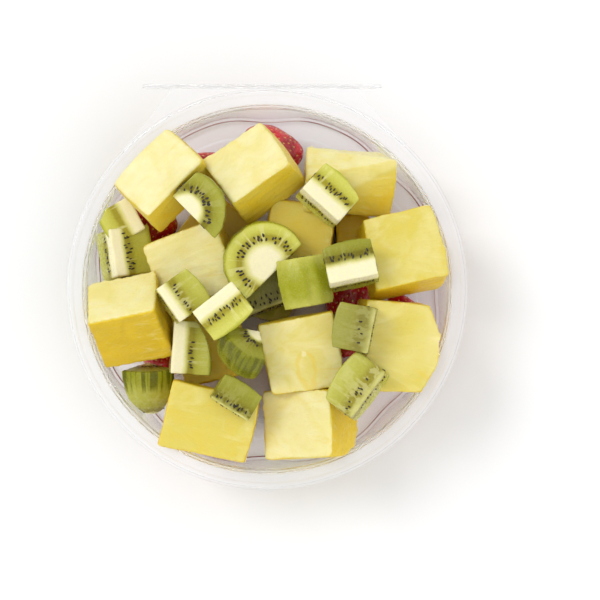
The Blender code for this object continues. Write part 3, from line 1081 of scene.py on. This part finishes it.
@dataclass
class StrawberryPiece(Fruit):
    """A hulled strawberry with its tip at +X. Lengths are in millimetres."""

    length: float = 36.0
    swells: tuple[float, float] = (11.0, 0.9)
    dimple: tuple[float, float] = (1.15, 0.55)
    seed_gap: float = 3.1
    seed_sunk: float = 0.42
    bare_end: float = 0.42
    face: float = 0.85

    def turn(self) -> Matrix:
        """The rotation of the berry."""
        return Matrix.Rotation(math.radians(self.heading), 4, "Z")

    def origin(self, low: np.ndarray, high: np.ndarray) -> np.ndarray:
        """The middle of the berry."""
        return np.array((high[0] - self.length / 2 * MM, (low[1] + high[1]) / 2, (low[2] + high[2]) / 2))

    def build(self, solid: bpy.types.Object, material: bpy.types.Material) -> bpy.types.Object:
        """Model the berry with a dimple for each seed.

        Args:
            solid: The frame's solid.
            material: The flesh.

        Returns:
            The finished piece.
        """
        piece = Bench.copy_of(solid, self.node + "_flesh")
        self.measure(piece)
        round_off = piece.modifiers.new("round", "SUBSURF")
        round_off.levels = round_off.render_levels = 1
        Bench.finish_modifier(piece, round_off)
        Bench.remesh(piece, self.face * MM)
        Bench.smooth(piece, 0.5, 4)
        own = self.local(Bench.points(piece))
        out = Bench.normals(piece) @ self.matrix
        own += out * (ripple(own, self.swells[0] * MM, self.seed) * self.swells[1] * MM)[:, None]
        self.spots = self.seed_spots(own, out)
        tree = kdtree.KDTree(len(self.spots))
        for number, (spot, _) in enumerate(self.spots):
            tree.insert(Vector(spot), number)
        tree.balance()
        gaps = np.array([tree.find(Vector(row))[2] for row in own]) / MM
        dents = np.exp(-((gaps / self.dimple[0]) ** 2))
        own -= out * (dents * self.dimple[1] * MM)[:, None]
        Bench.move_points(piece, self.placed(own))
        Bench.note(piece, "tip", own / MM)
        piece.data.materials.append(material)
        Bench.shade(piece)
        return piece

    def seed_spots(self, own: np.ndarray, out: np.ndarray) -> list[tuple[np.ndarray, np.ndarray]]:
        """Choose seed places that keep their distance from each other.

        Args:
            own: The berry's points.
            out: The outward directions there.

        Returns:
            Places and directions.
        """
        order = list(range(len(own)))
        random.Random(self.seed + 900).shuffle(order)
        far_enough = self.seed_gap * MM
        chosen: list[int] = []
        cells: dict[tuple[int, ...], list[int]] = {}
        for number in order:
            if own[number][0] < -self.length * self.bare_end * MM:
                continue
            cell = tuple(int(v // far_enough) for v in own[number])
            near = [
                other
                for dx in (-1, 0, 1)
                for dy in (-1, 0, 1)
                for dz in (-1, 0, 1)
                for other in cells.get((cell[0] + dx, cell[1] + dy, cell[2] + dz), ())
            ]
            if all(np.linalg.norm(own[number] - own[other]) > far_enough for other in near):
                cells.setdefault(cell, []).append(number)
                chosen.append(number)
        return [(own[number].copy(), out[number]) for number in chosen]

    def seeds(self) -> list[Matrix]:
        """Find the berry's seeds.

        Returns:
            Where each seed lies in the frame, with its long side along X.
        """
        found = []
        for spot, out in self.spots:
            place = self.placed((spot - out * self.seed_sunk * MM)[None, :])[0]
            up = Vector(self.matrix @ out)
            ahead = Vector(self.matrix @ np.array((1.0, 0.0, 0.0)))
            ahead = (ahead - up * ahead.dot(up)).normalized()
            side = up.cross(ahead)
            basis = Matrix((ahead, side, up)).transposed().to_4x4()
            found.append(Matrix.Translation(Vector(place)) @ basis)
        return found


@dataclass
class SeedBatch:
    """Many small seeds of one kind, joined into one piece."""

    name: str
    length: float
    width: float
    thick: float
    rings: int = 5
    segments: int = 8
    taper: float = 0.45
    places: list[Matrix] = field(default_factory=list)

    def build(self, material: bpy.types.Material) -> bpy.types.Object:
        """Model one seed, copy it to every place and join the copies.

        Args:
            material: The seeds' material.

        Returns:
            The joined piece.
        """
        Bench.clear()
        bpy.ops.mesh.primitive_uv_sphere_add(segments=self.segments, ring_count=self.rings, radius=0.5)
        model = bpy.context.active_object
        model.name = self.name
        Bench.edit(model)
        bpy.ops.transform.rotate(value=math.pi / 2, orient_axis="Y", center_override=(0, 0, 0))
        bpy.ops.transform.resize(value=(self.length * MM, self.width * MM, self.thick * MM))
        bpy.ops.object.mode_set(mode="OBJECT")
        rows = Bench.points(model)
        share = rows[:, 0] / (self.length * MM)
        rows[:, 1:] *= (1.0 - self.taper * share)[:, None]
        faces = [list(face.vertices) for face in model.data.polygons]
        corners, loops = [], []
        for place in self.places:
            first = len(corners) * len(rows)
            turn = np.array(place)
            corners.append(rows @ turn[:3, :3].T + turn[:3, 3])
            loops += [[first + corner for corner in face] for face in faces]
        joined = bpy.data.meshes.new(self.name)
        joined.from_pydata(np.concatenate(corners).tolist(), [], loops)
        joined.materials.append(material)
        model.data = joined
        Bench.shade(model)
        return model


# Each block's tone is partly its ripeness and partly painted light and shade; sides paints shade on the
# sides, and a ridge paints shade past it.
PINEAPPLE = (
    PineappleBlock("pineapple_01", -10, tone_and_painted_light=0.6, grow=(1.1, 1.38, 1.0), shift=(0, 4.5, 0)),
    PineappleBlock("pineapple_02", 5, tone_and_painted_light=1.0),
    PineappleBlock("pineapple_03", 12, tone_and_painted_light=0.9, grow=(1.1, 1.2, 1.0), shift=(0, -2, 0)),
    PineappleBlock("pineapple_04", 140, tone_and_painted_light=0.7),
    PineappleBlock("pineapple_05", -7, lean_to=-65, lean=12, tone_and_painted_light=0.42, sides=-0.25, ridge=(-58, 0.05, 0.3),
                   grow=(1.14, 1.14, 1.05), shift=(2, 1, 0)),
    PineappleBlock("pineapple_06", 20, lean_to=200, lean=9, tone_and_painted_light=0.15, grow=(1.05, 1.05, 1.03),
                   shift=(1, -1.5, 0)),
    PineappleBlock("pineapple_07", -3, lean_to=0, lean=7, tone_and_painted_light=0.4, streaks=0.85, coarse=2.6,
                   grow=(1.05, 1.07, 1.03)),
    PineappleBlock("pineapple_08", 3, lean_to=180, lean=28, tone_and_painted_light=0.15, sides=0.9,
                   grow=(1.12, 1.09, 1.03), shift=(2, -1, 0)),
    PineappleBlock("pineapple_09", -14, lean_to=-100, lean=3, tone_and_painted_light=0.5, grow=(1.05, 1.08, 1.03),
                   shift=(-3, -1, 0)),
    PineappleBlock("pineapple_10", 12, lean_to=68, lean=14, tone_and_painted_light=0.45, grow=(1.09, 1.08, 1.03),
                   shift=(-1, 1, 0)),
    PineappleBlock("pineapple_11", 7, lean_to=110, lean=46, tone_and_painted_light=0.2, sides=1.2, shift=(2.5, -2.5, 0)),
    PineappleBlock("pineapple_12", 46, lean_to=136, lean=25, tone_and_painted_light=0.1, shift=(-2.5, 1.5, 0)),
    PineappleBlock("pineapple_13", 36, lean_to=130, lean=20, tone_and_painted_light=0.15, splay=(4.0, -4.0), shift=(-3, -1, 0)),
    PineappleBlock("pineapple_14", 10, lean_to=-100, lean=3, tone_and_painted_light=0.28, eye=(1, -4), shift=(3.5, -2.5, 5)),
)

# depth paints shade over a whole piece, set for the pieces that look dark in the heap.
KIWI = (
    KiwiWedge("kiwi_01", 88, up=Up.SKIN, low_end=-13, high_end=14),
    KiwiWedge("kiwi_02", 10, up=Up.SKIN, low_end=-14, high_end=14),
    KiwiWedge("kiwi_03", 75, up=Up.SKIN, low_end=-14, high_end=14),
    KiwiWedge("kiwi_04", 8, low_end=-6, high_end=14, lean_to=20, lean=22, ring=8.5, depth=0.3,
              grow=(1.05, 1.1, 1.32), shift=(0, 4.5, 9)),
    KiwiWedge("kiwi_05", -151, low_end=-10, high_end=9, lean_to=30, lean=6, seeded=(0, 0), depth=0.0,
              shift=(-3, 6, -8)),
    KiwiWedge("kiwi_06", -88, up=Up.SKIN, angle=85, low_end=2, high_end=29, lean_to=-90, lean=14,
              depth=0.45, stripes=0.85, shift=(-3, 1.5, 0)),
    KiwiWedge("kiwi_07", 110, lean_to=110, lean=5, depth=0.9, dull=0.5, miss=7),
    KiwiWedge("kiwi_08", 143, low_end=-17, lean_to=143, lean=10, ring=11.5, miss=7.5, shells=ONE_ROW,
              depth=0.2, dull=0.12, soften=30, grow=(0.94, 1.08, 1.08), shift=(-1, 2, -5)),
    KiwiWedge("kiwi_09", -4, low_end=-25, high_end=3, lean=4, ring=10.0, depth=0.25, shells=ONE_ROW,
              seeded=(-14, 0), shift=(-0.5, -6, 0)),
    KiwiWedge("kiwi_10", 169, lean_to=169, lean=4, ring=16, miss=11, shells=ONE_ROW, depth=0.6, dull=0.35,
              shift=(0, 1.5, -4)),
    KiwiWedge("kiwi_11", 58, low_end=-13, lean_to=-30, lean=5, ring=11.0, miss=7.5, depth=0.7, shells=ONE_ROW,
              grow=(0.78, 0.78, 0.95), shift=(-1.5, -2.5, -11)),
    KiwiWedge("kiwi_12", 35, low_end=-14, high_end=7, lean_to=35, lean=8, ring=11, miss=3.5, depth=0.25,
              shells=ONE_ROW, shift=(1, -2.5, -3)),
    KiwiWedge("kiwi_13", -136, up=Up.END, angle=100, low_end=-16, high_end=4, lean_to=60, lean=34,
              tip_to=80, tip=9, ring=9.5, depth=0.75, stripes=0.6, shift=(-2, -3.5, 6)),
    KiwiWedge("kiwi_14", 135, up=Up.END, angle=180, low_end=-9, high_end=6, lean_to=-45, lean=6,
              past=6, ring=13.6, depth=0.0, grow=(1.08, 1.08, 1), shift=(-2.5, 0.5, 0)),
    KiwiWedge("kiwi_15", 100, up=Up.SKIN, low_end=-13, high_end=13, lean=4, depth=0.15, shift=(-5, 1, 1)),
    KiwiWedge("kiwi_16", 102, low_end=-14, lean_to=102, lean=15, ring=13.0, depth=0.75, shift=(0.5, 1, -2)),
    KiwiWedge("kiwi_17", -52, lean_to=128, lean=8, ring=9.8, depth=0.0, grow=(1.06, 1.06, 1.12),
              shift=(2, -0.5, -3)),
    KiwiWedge("kiwi_18", 45, up=Up.END, angle=180, low_end=-10, high_end=4, lean_to=225, lean=4,
              short=10, ring=11.5, stretch=1.1, depth=0.6, shift=(-1, 4, 0)),
    KiwiWedge("kiwi_19", 48, low_end=-9, high_end=17, lean_to=48, lean=17, ring=10.8, depth=0.0,
              shift=(-1, 3, -1)),
)

STRAWBERRIES = (
    StrawberryPiece("strawberry_01", 5, length=36, shift=(1, -1.5, 0)),
    StrawberryPiece("strawberry_02", 250, length=30),
    StrawberryPiece("strawberry_03", 300, length=30, grow=(0.95, 0.9, 0.9), shift=(2, 3, 0)),
    StrawberryPiece("strawberry_04", 250, length=34),
    StrawberryPiece("strawberry_05", 130, length=32),
    StrawberryPiece("strawberry_06", 40, length=32),
    StrawberryPiece("strawberry_07", 60, length=36),
    StrawberryPiece("strawberry_08", 135, length=36, grow=(0.85, 0.85, 0.85), shift=(-5, 4, -1)),
    StrawberryPiece("strawberry_09", 100, length=36),
    StrawberryPiece("strawberry_10", 80, length=30),
    StrawberryPiece("strawberry_11", 170, length=30),
    StrawberryPiece("strawberry_12", 20, length=36),
    StrawberryPiece("strawberry_13", 100, length=26),
)


@dataclass
class Heap:
    """All the fruit, with the seeds that show on it."""

    blocks: Sequence[PineappleBlock] = PINEAPPLE
    wedges: Sequence[KiwiWedge] = KIWI
    berries: Sequence[StrawberryPiece] = STRAWBERRIES

    def build(self, nodes: dict[str, bpy.types.Object]) -> None:
        """Build every piece and put it in the frame.

        Args:
            nodes: The frame's solids by name.
        """
        kinds = (
            (self.blocks, PineappleFlesh().material(), "pineapple_flesh"),
            (self.wedges, KiwiFlesh().material(), "kiwi_flesh"),
            (self.berries, StrawberryFlesh().material(), "strawberry_flesh"),
        )
        for pieces, material, slot in kinds:
            for number, fruit in enumerate(pieces):
                fruit.seed = number + 1
                piece = fruit.build(nodes[fruit.node], material)
                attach(piece, ROOT)
                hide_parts(fruit.node)
                LOG.info("%s: %d faces", piece.name, len(piece.data.polygons))
        black = SeedCoat("kiwi_seed", (0.008, 0.005, 0.003), (0.035, 0.018, 0.008), 0.3)
        self.add_seeds(SeedBatch("kiwi_seeds", 2.2, 1.3, 0.9), self.wedges, black)
        golden = SeedCoat("strawberry_seed", (0.55, 0.30, 0.05), (0.75, 0.5, 0.12), 0.4)
        small = SeedBatch("strawberry_seeds", 1.35, 0.8, 0.5, rings=4, segments=6)
        self.add_seeds(small, self.berries, golden)

    def add_seeds(self, batch: SeedBatch, fruits: Sequence[Fruit], coat: SeedCoat) -> None:
        """Build one kind of seeds on one kind of fruit.

        Args:
            batch: The seeds' size and form.
            fruits: The pieces that carry them.
            coat: The seeds' finish.
        """
        for fruit in fruits:
            batch.places += fruit.seeds()
        piece = batch.build(coat.material())
        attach(piece, ROOT)
        LOG.info("%s: %d seeds", piece.name, len(batch.places))


# Bowl


@dataclass
class Bowl:
    """The clear bowl: base, fluted wall, seal step, beaded rim, tab and hinge strip.

    Sizes are in millimetres and angles in degrees. The radii and heights of the profile are
    those of the sheet's under side.
    """

    node: str = "bowl"
    sheet: float = 0.6
    rim_radius: float = 108.8
    rim_height: float = 60.0
    lip_drop: float = 4.0
    draft: float = 1.2
    bead: float = 1.25
    mouth_radius: float = 99.8
    ledge: float = 51.3
    ledge_radius: float = 98.5
    play: float = 0.2
    heel_radius: float = 97.0
    heel_rounding: float = 5.0
    foot: float = 86.0
    base_radius: float = 74.0
    base_rings: Sequence[float] = (60.0, 40.0, 20.0, 6.0, 0.0)
    groove: float = 1.2
    flutes: int = 8
    flute_depth: float = 3.6
    turn_steps: int = 224
    tab_left: float = -51.5
    tab_right: float = 47.5
    tab_fillet: float = 18.0
    tab_overlap: float = 3.5
    strip_length: float = 129.5
    strip_centre: float = -2.7
    strip_drop: float = 22.0
    strip_lean: float = 8.0
    strip_corner: float = 5.0
    # Where the thin line painted with refracted strawberry red lies, and its size.
    refraction_line_radius: float = 95.3
    refraction_line_height: float = 2.5
    refraction_line_bead: float = 0.3

    def profile(self) -> list[tuple[float, float]]:
        """Draw the sheet's section.

        Returns:
            Radius and height along it, from the lip to the middle of the base.
        """
        lip = self.rim_radius - self.sheet
        flange = self.rim_height - 1.1
        crest = lip - self.draft
        points = [(lip, self.rim_height - self.lip_drop), (crest, flange - 0.5)]
        for turn in range(20, 161, 20):
            way = math.radians(turn)
            reach = crest - self.bead * (1 - math.cos(way))
            points.append((reach, flange - 0.5 + self.bead * math.sin(way)))
        points += [(crest - 2.5 * self.bead, flange), (self.mouth_radius + 3.0, flange)]
        for turn in (30, 60, 90):
            way = math.radians(turn)
            reach = self.mouth_radius + 1.2 * (1 - math.sin(way))
            points.append((reach, flange - 1.2 * (1 - math.cos(way))))
        points += [(self.mouth_radius - 0.3, self.ledge + 0.9), (self.mouth_radius - 0.6, self.ledge + 0.2)]
        points += [(self.mouth_radius - 0.9, self.ledge), (self.ledge_radius + 0.2, self.ledge - 0.1)]
        points.append((self.ledge_radius, self.ledge - 0.6))
        for step in range(1, 13):
            share = step / 12
            reach = self.ledge_radius + (self.heel_radius - self.ledge_radius) * share
            points.append((reach, self.ledge - 0.6 + (self.heel_rounding - self.ledge + 0.6) * share))
        for turn in range(15, 91, 15):
            way = math.radians(turn)
            reach = self.heel_radius - self.heel_rounding * (1 - math.cos(way))
            points.append((reach, self.heel_rounding * (1 - math.sin(way))))
        points += [(self.foot + 3.0, 0.0), (self.foot, 0.0)]
        inner, outer = self.base_radius + self.groove, self.foot - self.groove
        points += [(reach, self.groove) for reach in (outer, (inner + outer) / 2, inner)]
        return points + [(reach, 0.0) for reach in (self.base_radius, *self.base_rings)]

    def flute(self, rows: np.ndarray) -> np.ndarray:
        """How far the flutes stand in from the plain wall at each place, in metres."""
        around = (0.5 + 0.5 * np.cos(self.flutes * np.arctan2(rows[:, 1], rows[:, 0]))) ** 2
        return self.flute_depth * MM * around * np.clip(1 - rows[:, 2] / (self.ledge * MM), 0, 1)

    def kept_inside(self, rows: np.ndarray) -> np.ndarray:
        """Press soft fruit flat where it would pass through the wall.

        Args:
            rows: Places on the fruit, in metres.

        Returns:
            The places, with those past the wall moved in to it.
        """
        heights = (0.0, self.heel_rounding, self.ledge, self.ledge + 3.0, self.rim_height + 1.0,
                   self.rim_height + 21.0)
        radii = (self.heel_radius - self.heel_rounding, self.heel_radius, self.ledge_radius,
                 self.mouth_radius, self.mouth_radius, self.mouth_radius + 20.0)
        room = (np.interp(rows[:, 2] / MM, heights, radii) - self.sheet - self.play) * MM - self.flute(rows)
        reach = np.maximum(np.hypot(rows[:, 0], rows[:, 1]), MM)
        found = rows.copy()
        found[:, :2] *= np.minimum(room / reach, 1.0)[:, None]
        return found

    def pressed(self, rows: np.ndarray) -> np.ndarray:
        """Press the flutes into the wall.

        Args:
            rows: Places in metres.

        Returns:
            The places with the flutes in them.
        """
        reach = np.hypot(rows[:, 0], rows[:, 1])
        depth = self.flute(rows) * (reach > self.base_radius * 1.0005 * MM)
        found = rows.copy()
        found[:, :2] *= ((reach - depth) / np.maximum(reach, MM))[:, None]
        return found

    def turned(self) -> bpy.types.Object:
        """Draw the profile one extrusion at a time, spin it and thicken it.

        Returns:
            The round sheet.
        """
        Bench.clear()
        bpy.ops.mesh.primitive_plane_add(size=MM)
        sheet = bpy.context.active_object
        sheet.name = "bowl_sheet"
        Bench.edit(sheet)
        bpy.ops.mesh.merge(type="CENTER")
        last = (0.0, 0.0)
        for number, point in enumerate(self.profile()):
            step = ((point[0] - last[0]) * MM, 0.0, (point[1] - last[1]) * MM)
            if number:
                bpy.ops.mesh.extrude_vertices_move(TRANSFORM_OT_translate={"value": step})
            else:
                bpy.ops.transform.translate(value=step)
            last = point
        bpy.ops.mesh.select_all(action="SELECT")
        bpy.ops.mesh.spin(steps=self.turn_steps, angle=math.tau, center=(0, 0, 0), axis=(0, 0, 1))
        bpy.ops.mesh.select_all(action="SELECT")
        bpy.ops.mesh.remove_doubles(threshold=MERGE * MM)
        bpy.ops.mesh.normals_make_consistent(inside=False)
        bpy.ops.object.mode_set(mode="OBJECT")
        Bench.move_points(sheet, self.pressed(Bench.points(sheet)))
        lowest = min(sheet.data.polygons, key=lambda face: face.center.length)
        if lowest.normal.z > 0:
            Bench.edit(sheet)
            bpy.ops.mesh.flip_normals()
            bpy.ops.object.mode_set(mode="OBJECT")
        self.thicken(sheet)
        return sheet

    def thicken(self, piece: bpy.types.Object, offset: float = -1.0) -> None:
        """Give a surface the sheet's thickness.

        Args:
            piece: The surface.
            offset: Which side the thickness lies on, from -1 to 1.
        """
        thick = piece.modifiers.new("sheet", "SOLIDIFY")
        thick.thickness = self.sheet * MM
        thick.offset = offset
        thick.use_even_offset = True
        Bench.finish_modifier(piece, thick)

    def tab_edge(self) -> np.ndarray:
        """Draw the tab's outer edge.

        Returns:
            Its points, from its left fillet over the hinge edge to its right one.
        """
        sides = []
        for end, side in ((self.tab_left, -1), (self.tab_right, 1)):
            swing = math.asin(abs(end) / self.rim_radius) + math.radians(self.tab_fillet)
            way = math.pi / 2 - side * swing
            foot = np.array((math.cos(way), math.sin(way))) * self.rim_radius
            tangent = np.array((-math.sin(way), math.cos(way))) * side
            corner = np.array((end, self.rim_radius))
            handle = foot + tangent * np.linalg.norm(corner - foot) * 0.45
            shares = np.linspace(0, 1, 13)[:, None]
            one = foot + (handle - foot) * shares
            sides.append(one + (handle + (corner - handle) * shares - one) * shares)
        left, right = sides
        return np.concatenate((left, right[::-1]))

    def tab(self) -> bpy.types.Object:
        """Model the tab as a grid that is fitted between its edge and the rim.

        Returns:
            The tab.
        """
        Bench.clear()
        bpy.ops.mesh.primitive_grid_add(x_subdivisions=96, y_subdivisions=6, size=1)
        tab = bpy.context.active_object
        tab.name = "bowl_tab"
        rows = Bench.points(tab)
        edge = self.tab_edge()
        run = np.concatenate(([0], np.cumsum(np.linalg.norm(np.diff(edge, axis=0), axis=1))))
        along = (rows[:, 0] + 0.5) * run[-1]
        outer = np.stack([np.interp(along, run, edge[:, axis]) for axis in (0, 1)], axis=1)
        inner = outer * ((self.rim_radius - self.tab_overlap) / np.linalg.norm(outer, axis=1))[:, None]
        placed = inner + (outer - inner) * (rows[:, 1] + 0.5)[:, None]
        height = np.full((len(rows), 1), self.rim_height - 0.55)
        Bench.move_points(tab, np.hstack((placed, height)) * MM)
        self.thicken(tab, 0.0)
        return tab

    def strip(self) -> bpy.types.Object:
        """Model the hinge strip: a long plate with round corners that hangs from the tab.

        Returns:
            The strip.
        """
        Bench.clear()
        bpy.ops.mesh.primitive_plane_add(size=1)
        strip = bpy.context.active_object
        strip.name = "bowl_strip"
        Bench.edit(strip)
        bpy.ops.transform.resize(value=(self.strip_length * MM, self.strip_drop * MM, 1))
        bpy.ops.mesh.bevel(offset=self.strip_corner * MM, segments=8, affect="VERTICES")
        bpy.ops.mesh.select_all(action="SELECT")
        lean = math.radians(self.strip_lean)
        bpy.ops.transform.rotate(value=-(math.pi / 2 + lean), orient_axis="X", center_override=(0, 0, 0))
        reach = self.strip_drop / 2
        place = (
            self.strip_centre,
            self.rim_radius - self.sheet / 2 + reach * math.sin(lean),
            self.rim_height - 0.8 - reach * math.cos(lean),
        )
        bpy.ops.transform.translate(value=tuple(v * MM for v in place))
        bpy.ops.object.mode_set(mode="OBJECT")
        self.thicken(strip, 0.0)
        return strip

    def build(self, nodes: dict[str, bpy.types.Object]) -> None:
        """Build the bowl as one sheet, and a thin line in its corner painted with the strawberries' red that
        the wall refracts there.

        Args:
            nodes: The frame's solids by name; not used.
        """
        sheet, tab = self.turned(), self.tab()
        union = sheet.modifiers.new("union", "BOOLEAN")
        union.operation = "UNION"
        union.solver = "EXACT"
        union.object = tab
        Bench.finish_modifier(sheet, union)
        bpy.data.objects.remove(tab, do_unlink=True)
        edge = ClearSheet(name="clear_strip", tint=(0.93, 0.93, 0.933), clear=0.78, bend=1.03, roughness=0.2)
        for piece, finish in ((sheet, ClearSheet()), (self.strip(), edge)):
            piece.data.materials.clear()
            piece.data.materials.append(finish.material())
            Bench.shade(piece, 35.0)
            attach(piece, ROOT)
            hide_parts(self.node)
            LOG.info("%s: %d faces", piece.name, len(piece.data.polygons))
        self.painted_refraction_line()

    def painted_refraction_line(self) -> None:
        """Lay a thin bead along the inside of the fluted corner, painted with the red that the wall refracts
        from the strawberries.
        """
        Bench.clear()
        bpy.ops.mesh.primitive_torus_add(
            major_segments=400, minor_segments=8, major_radius=self.refraction_line_radius * MM,
            minor_radius=self.refraction_line_bead * MM, location=(0, 0, 0),
        )
        line = bpy.context.active_object
        line.name = "painted_refraction_line"
        rows = Bench.points(line) + np.array((0.0, 0.0, self.refraction_line_height * MM))
        Bench.move_points(line, self.pressed(rows))
        line.data.materials.append(PaintedRefraction().material())
        Bench.shade(line)
        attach(line, ROOT)
        LOG.info("%s: %d faces", line.name, len(line.data.polygons))


# Studio


@dataclass(frozen=True)
class Lamp:
    """A soft lamp far away, with its angles in degrees."""

    name: str
    strength: float
    azimuth: float
    elevation: float
    softness: float

    def build(self) -> None:
        """Hang the lamp and point it at the middle."""
        light = bpy.data.lights.new(self.name, "SUN")
        light.energy = self.strength
        light.angle = math.radians(self.softness)
        holder = bpy.data.objects.new(self.name, light)
        bpy.context.scene.collection.objects.link(holder)
        way, rise = math.radians(self.azimuth), math.radians(self.elevation)
        towards = Vector((math.cos(way) * math.cos(rise), math.sin(way) * math.cos(rise), math.sin(rise)))
        holder.location = towards
        holder.rotation_euler = towards.to_track_quat("Z", "Y").to_euler()


@dataclass
class Studio:
    """White floor, soft white room, a key lamp, a fill lamp, and the camera above."""

    floor_size: float = 12.0
    floor_colour: Colour = (0.892, 0.9, 0.912)
    floor_drop: float = 0.2
    room_strength: float = 0.88
    lamps: tuple[Lamp, ...] = (Lamp("key", 0.95, 146.0, 50.0, 22.0), Lamp("fill", 0.45, -48.0, 42.0, 70.0))
    camera_x: float = 17.8
    camera_y: float = -5.9
    camera_height: float = 3000.0
    rim_height: float = 60.0
    frame_width: float = 324.0
    sensor: float = 36.0

    def build(self) -> None:
        """Set up the floor, the lights and the camera."""
        Bench.clear()
        bpy.ops.mesh.primitive_plane_add(size=self.floor_size, location=(0, 0, -self.floor_drop * MM))
        floor = bpy.context.active_object
        floor.name = "floor"
        paint = Recipe("floor_paint")
        paint.set(Base_Color=self.floor_colour, Roughness=0.9, Specular_IOR_Level=0.1)
        floor.data.materials.append(paint.material)
        world = bpy.data.worlds.new("room")
        bpy.context.scene.world = world
        world.use_nodes = True
        sky = world.node_tree.nodes["Background"]
        sky.inputs["Color"].default_value = (1, 1, 1, 1)
        sky.inputs["Strength"].default_value = self.room_strength
        for lamp in self.lamps:
            lamp.build()
        lens = bpy.data.cameras.new("camera")
        lens.sensor_width = self.sensor
        lens.lens = self.sensor * (self.camera_height - self.rim_height) / self.frame_width
        lens.clip_end = 100.0
        eye = bpy.data.objects.new("camera", lens)
        bpy.context.scene.collection.objects.link(eye)
        eye.location = Vector((self.camera_x, self.camera_y, self.camera_height)) * MM
        bpy.context.scene.camera = eye
        bpy.context.scene.view_settings.view_transform = "Standard"


def corners(box: tuple[Vector, Vector]) -> list[list[float]]:
    """Turn a box into plain lists."""
    return [list(corner) for corner in box]


def main() -> None:
    """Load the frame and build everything."""
    logging.basicConfig(level=logging.INFO, format="%(name)s: %(message)s")
    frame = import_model()
    Studio().build()
    Bowl().build(frame["nodes"])
    Heap().build(frame["nodes"])


if __name__ == "__main__":
    main()
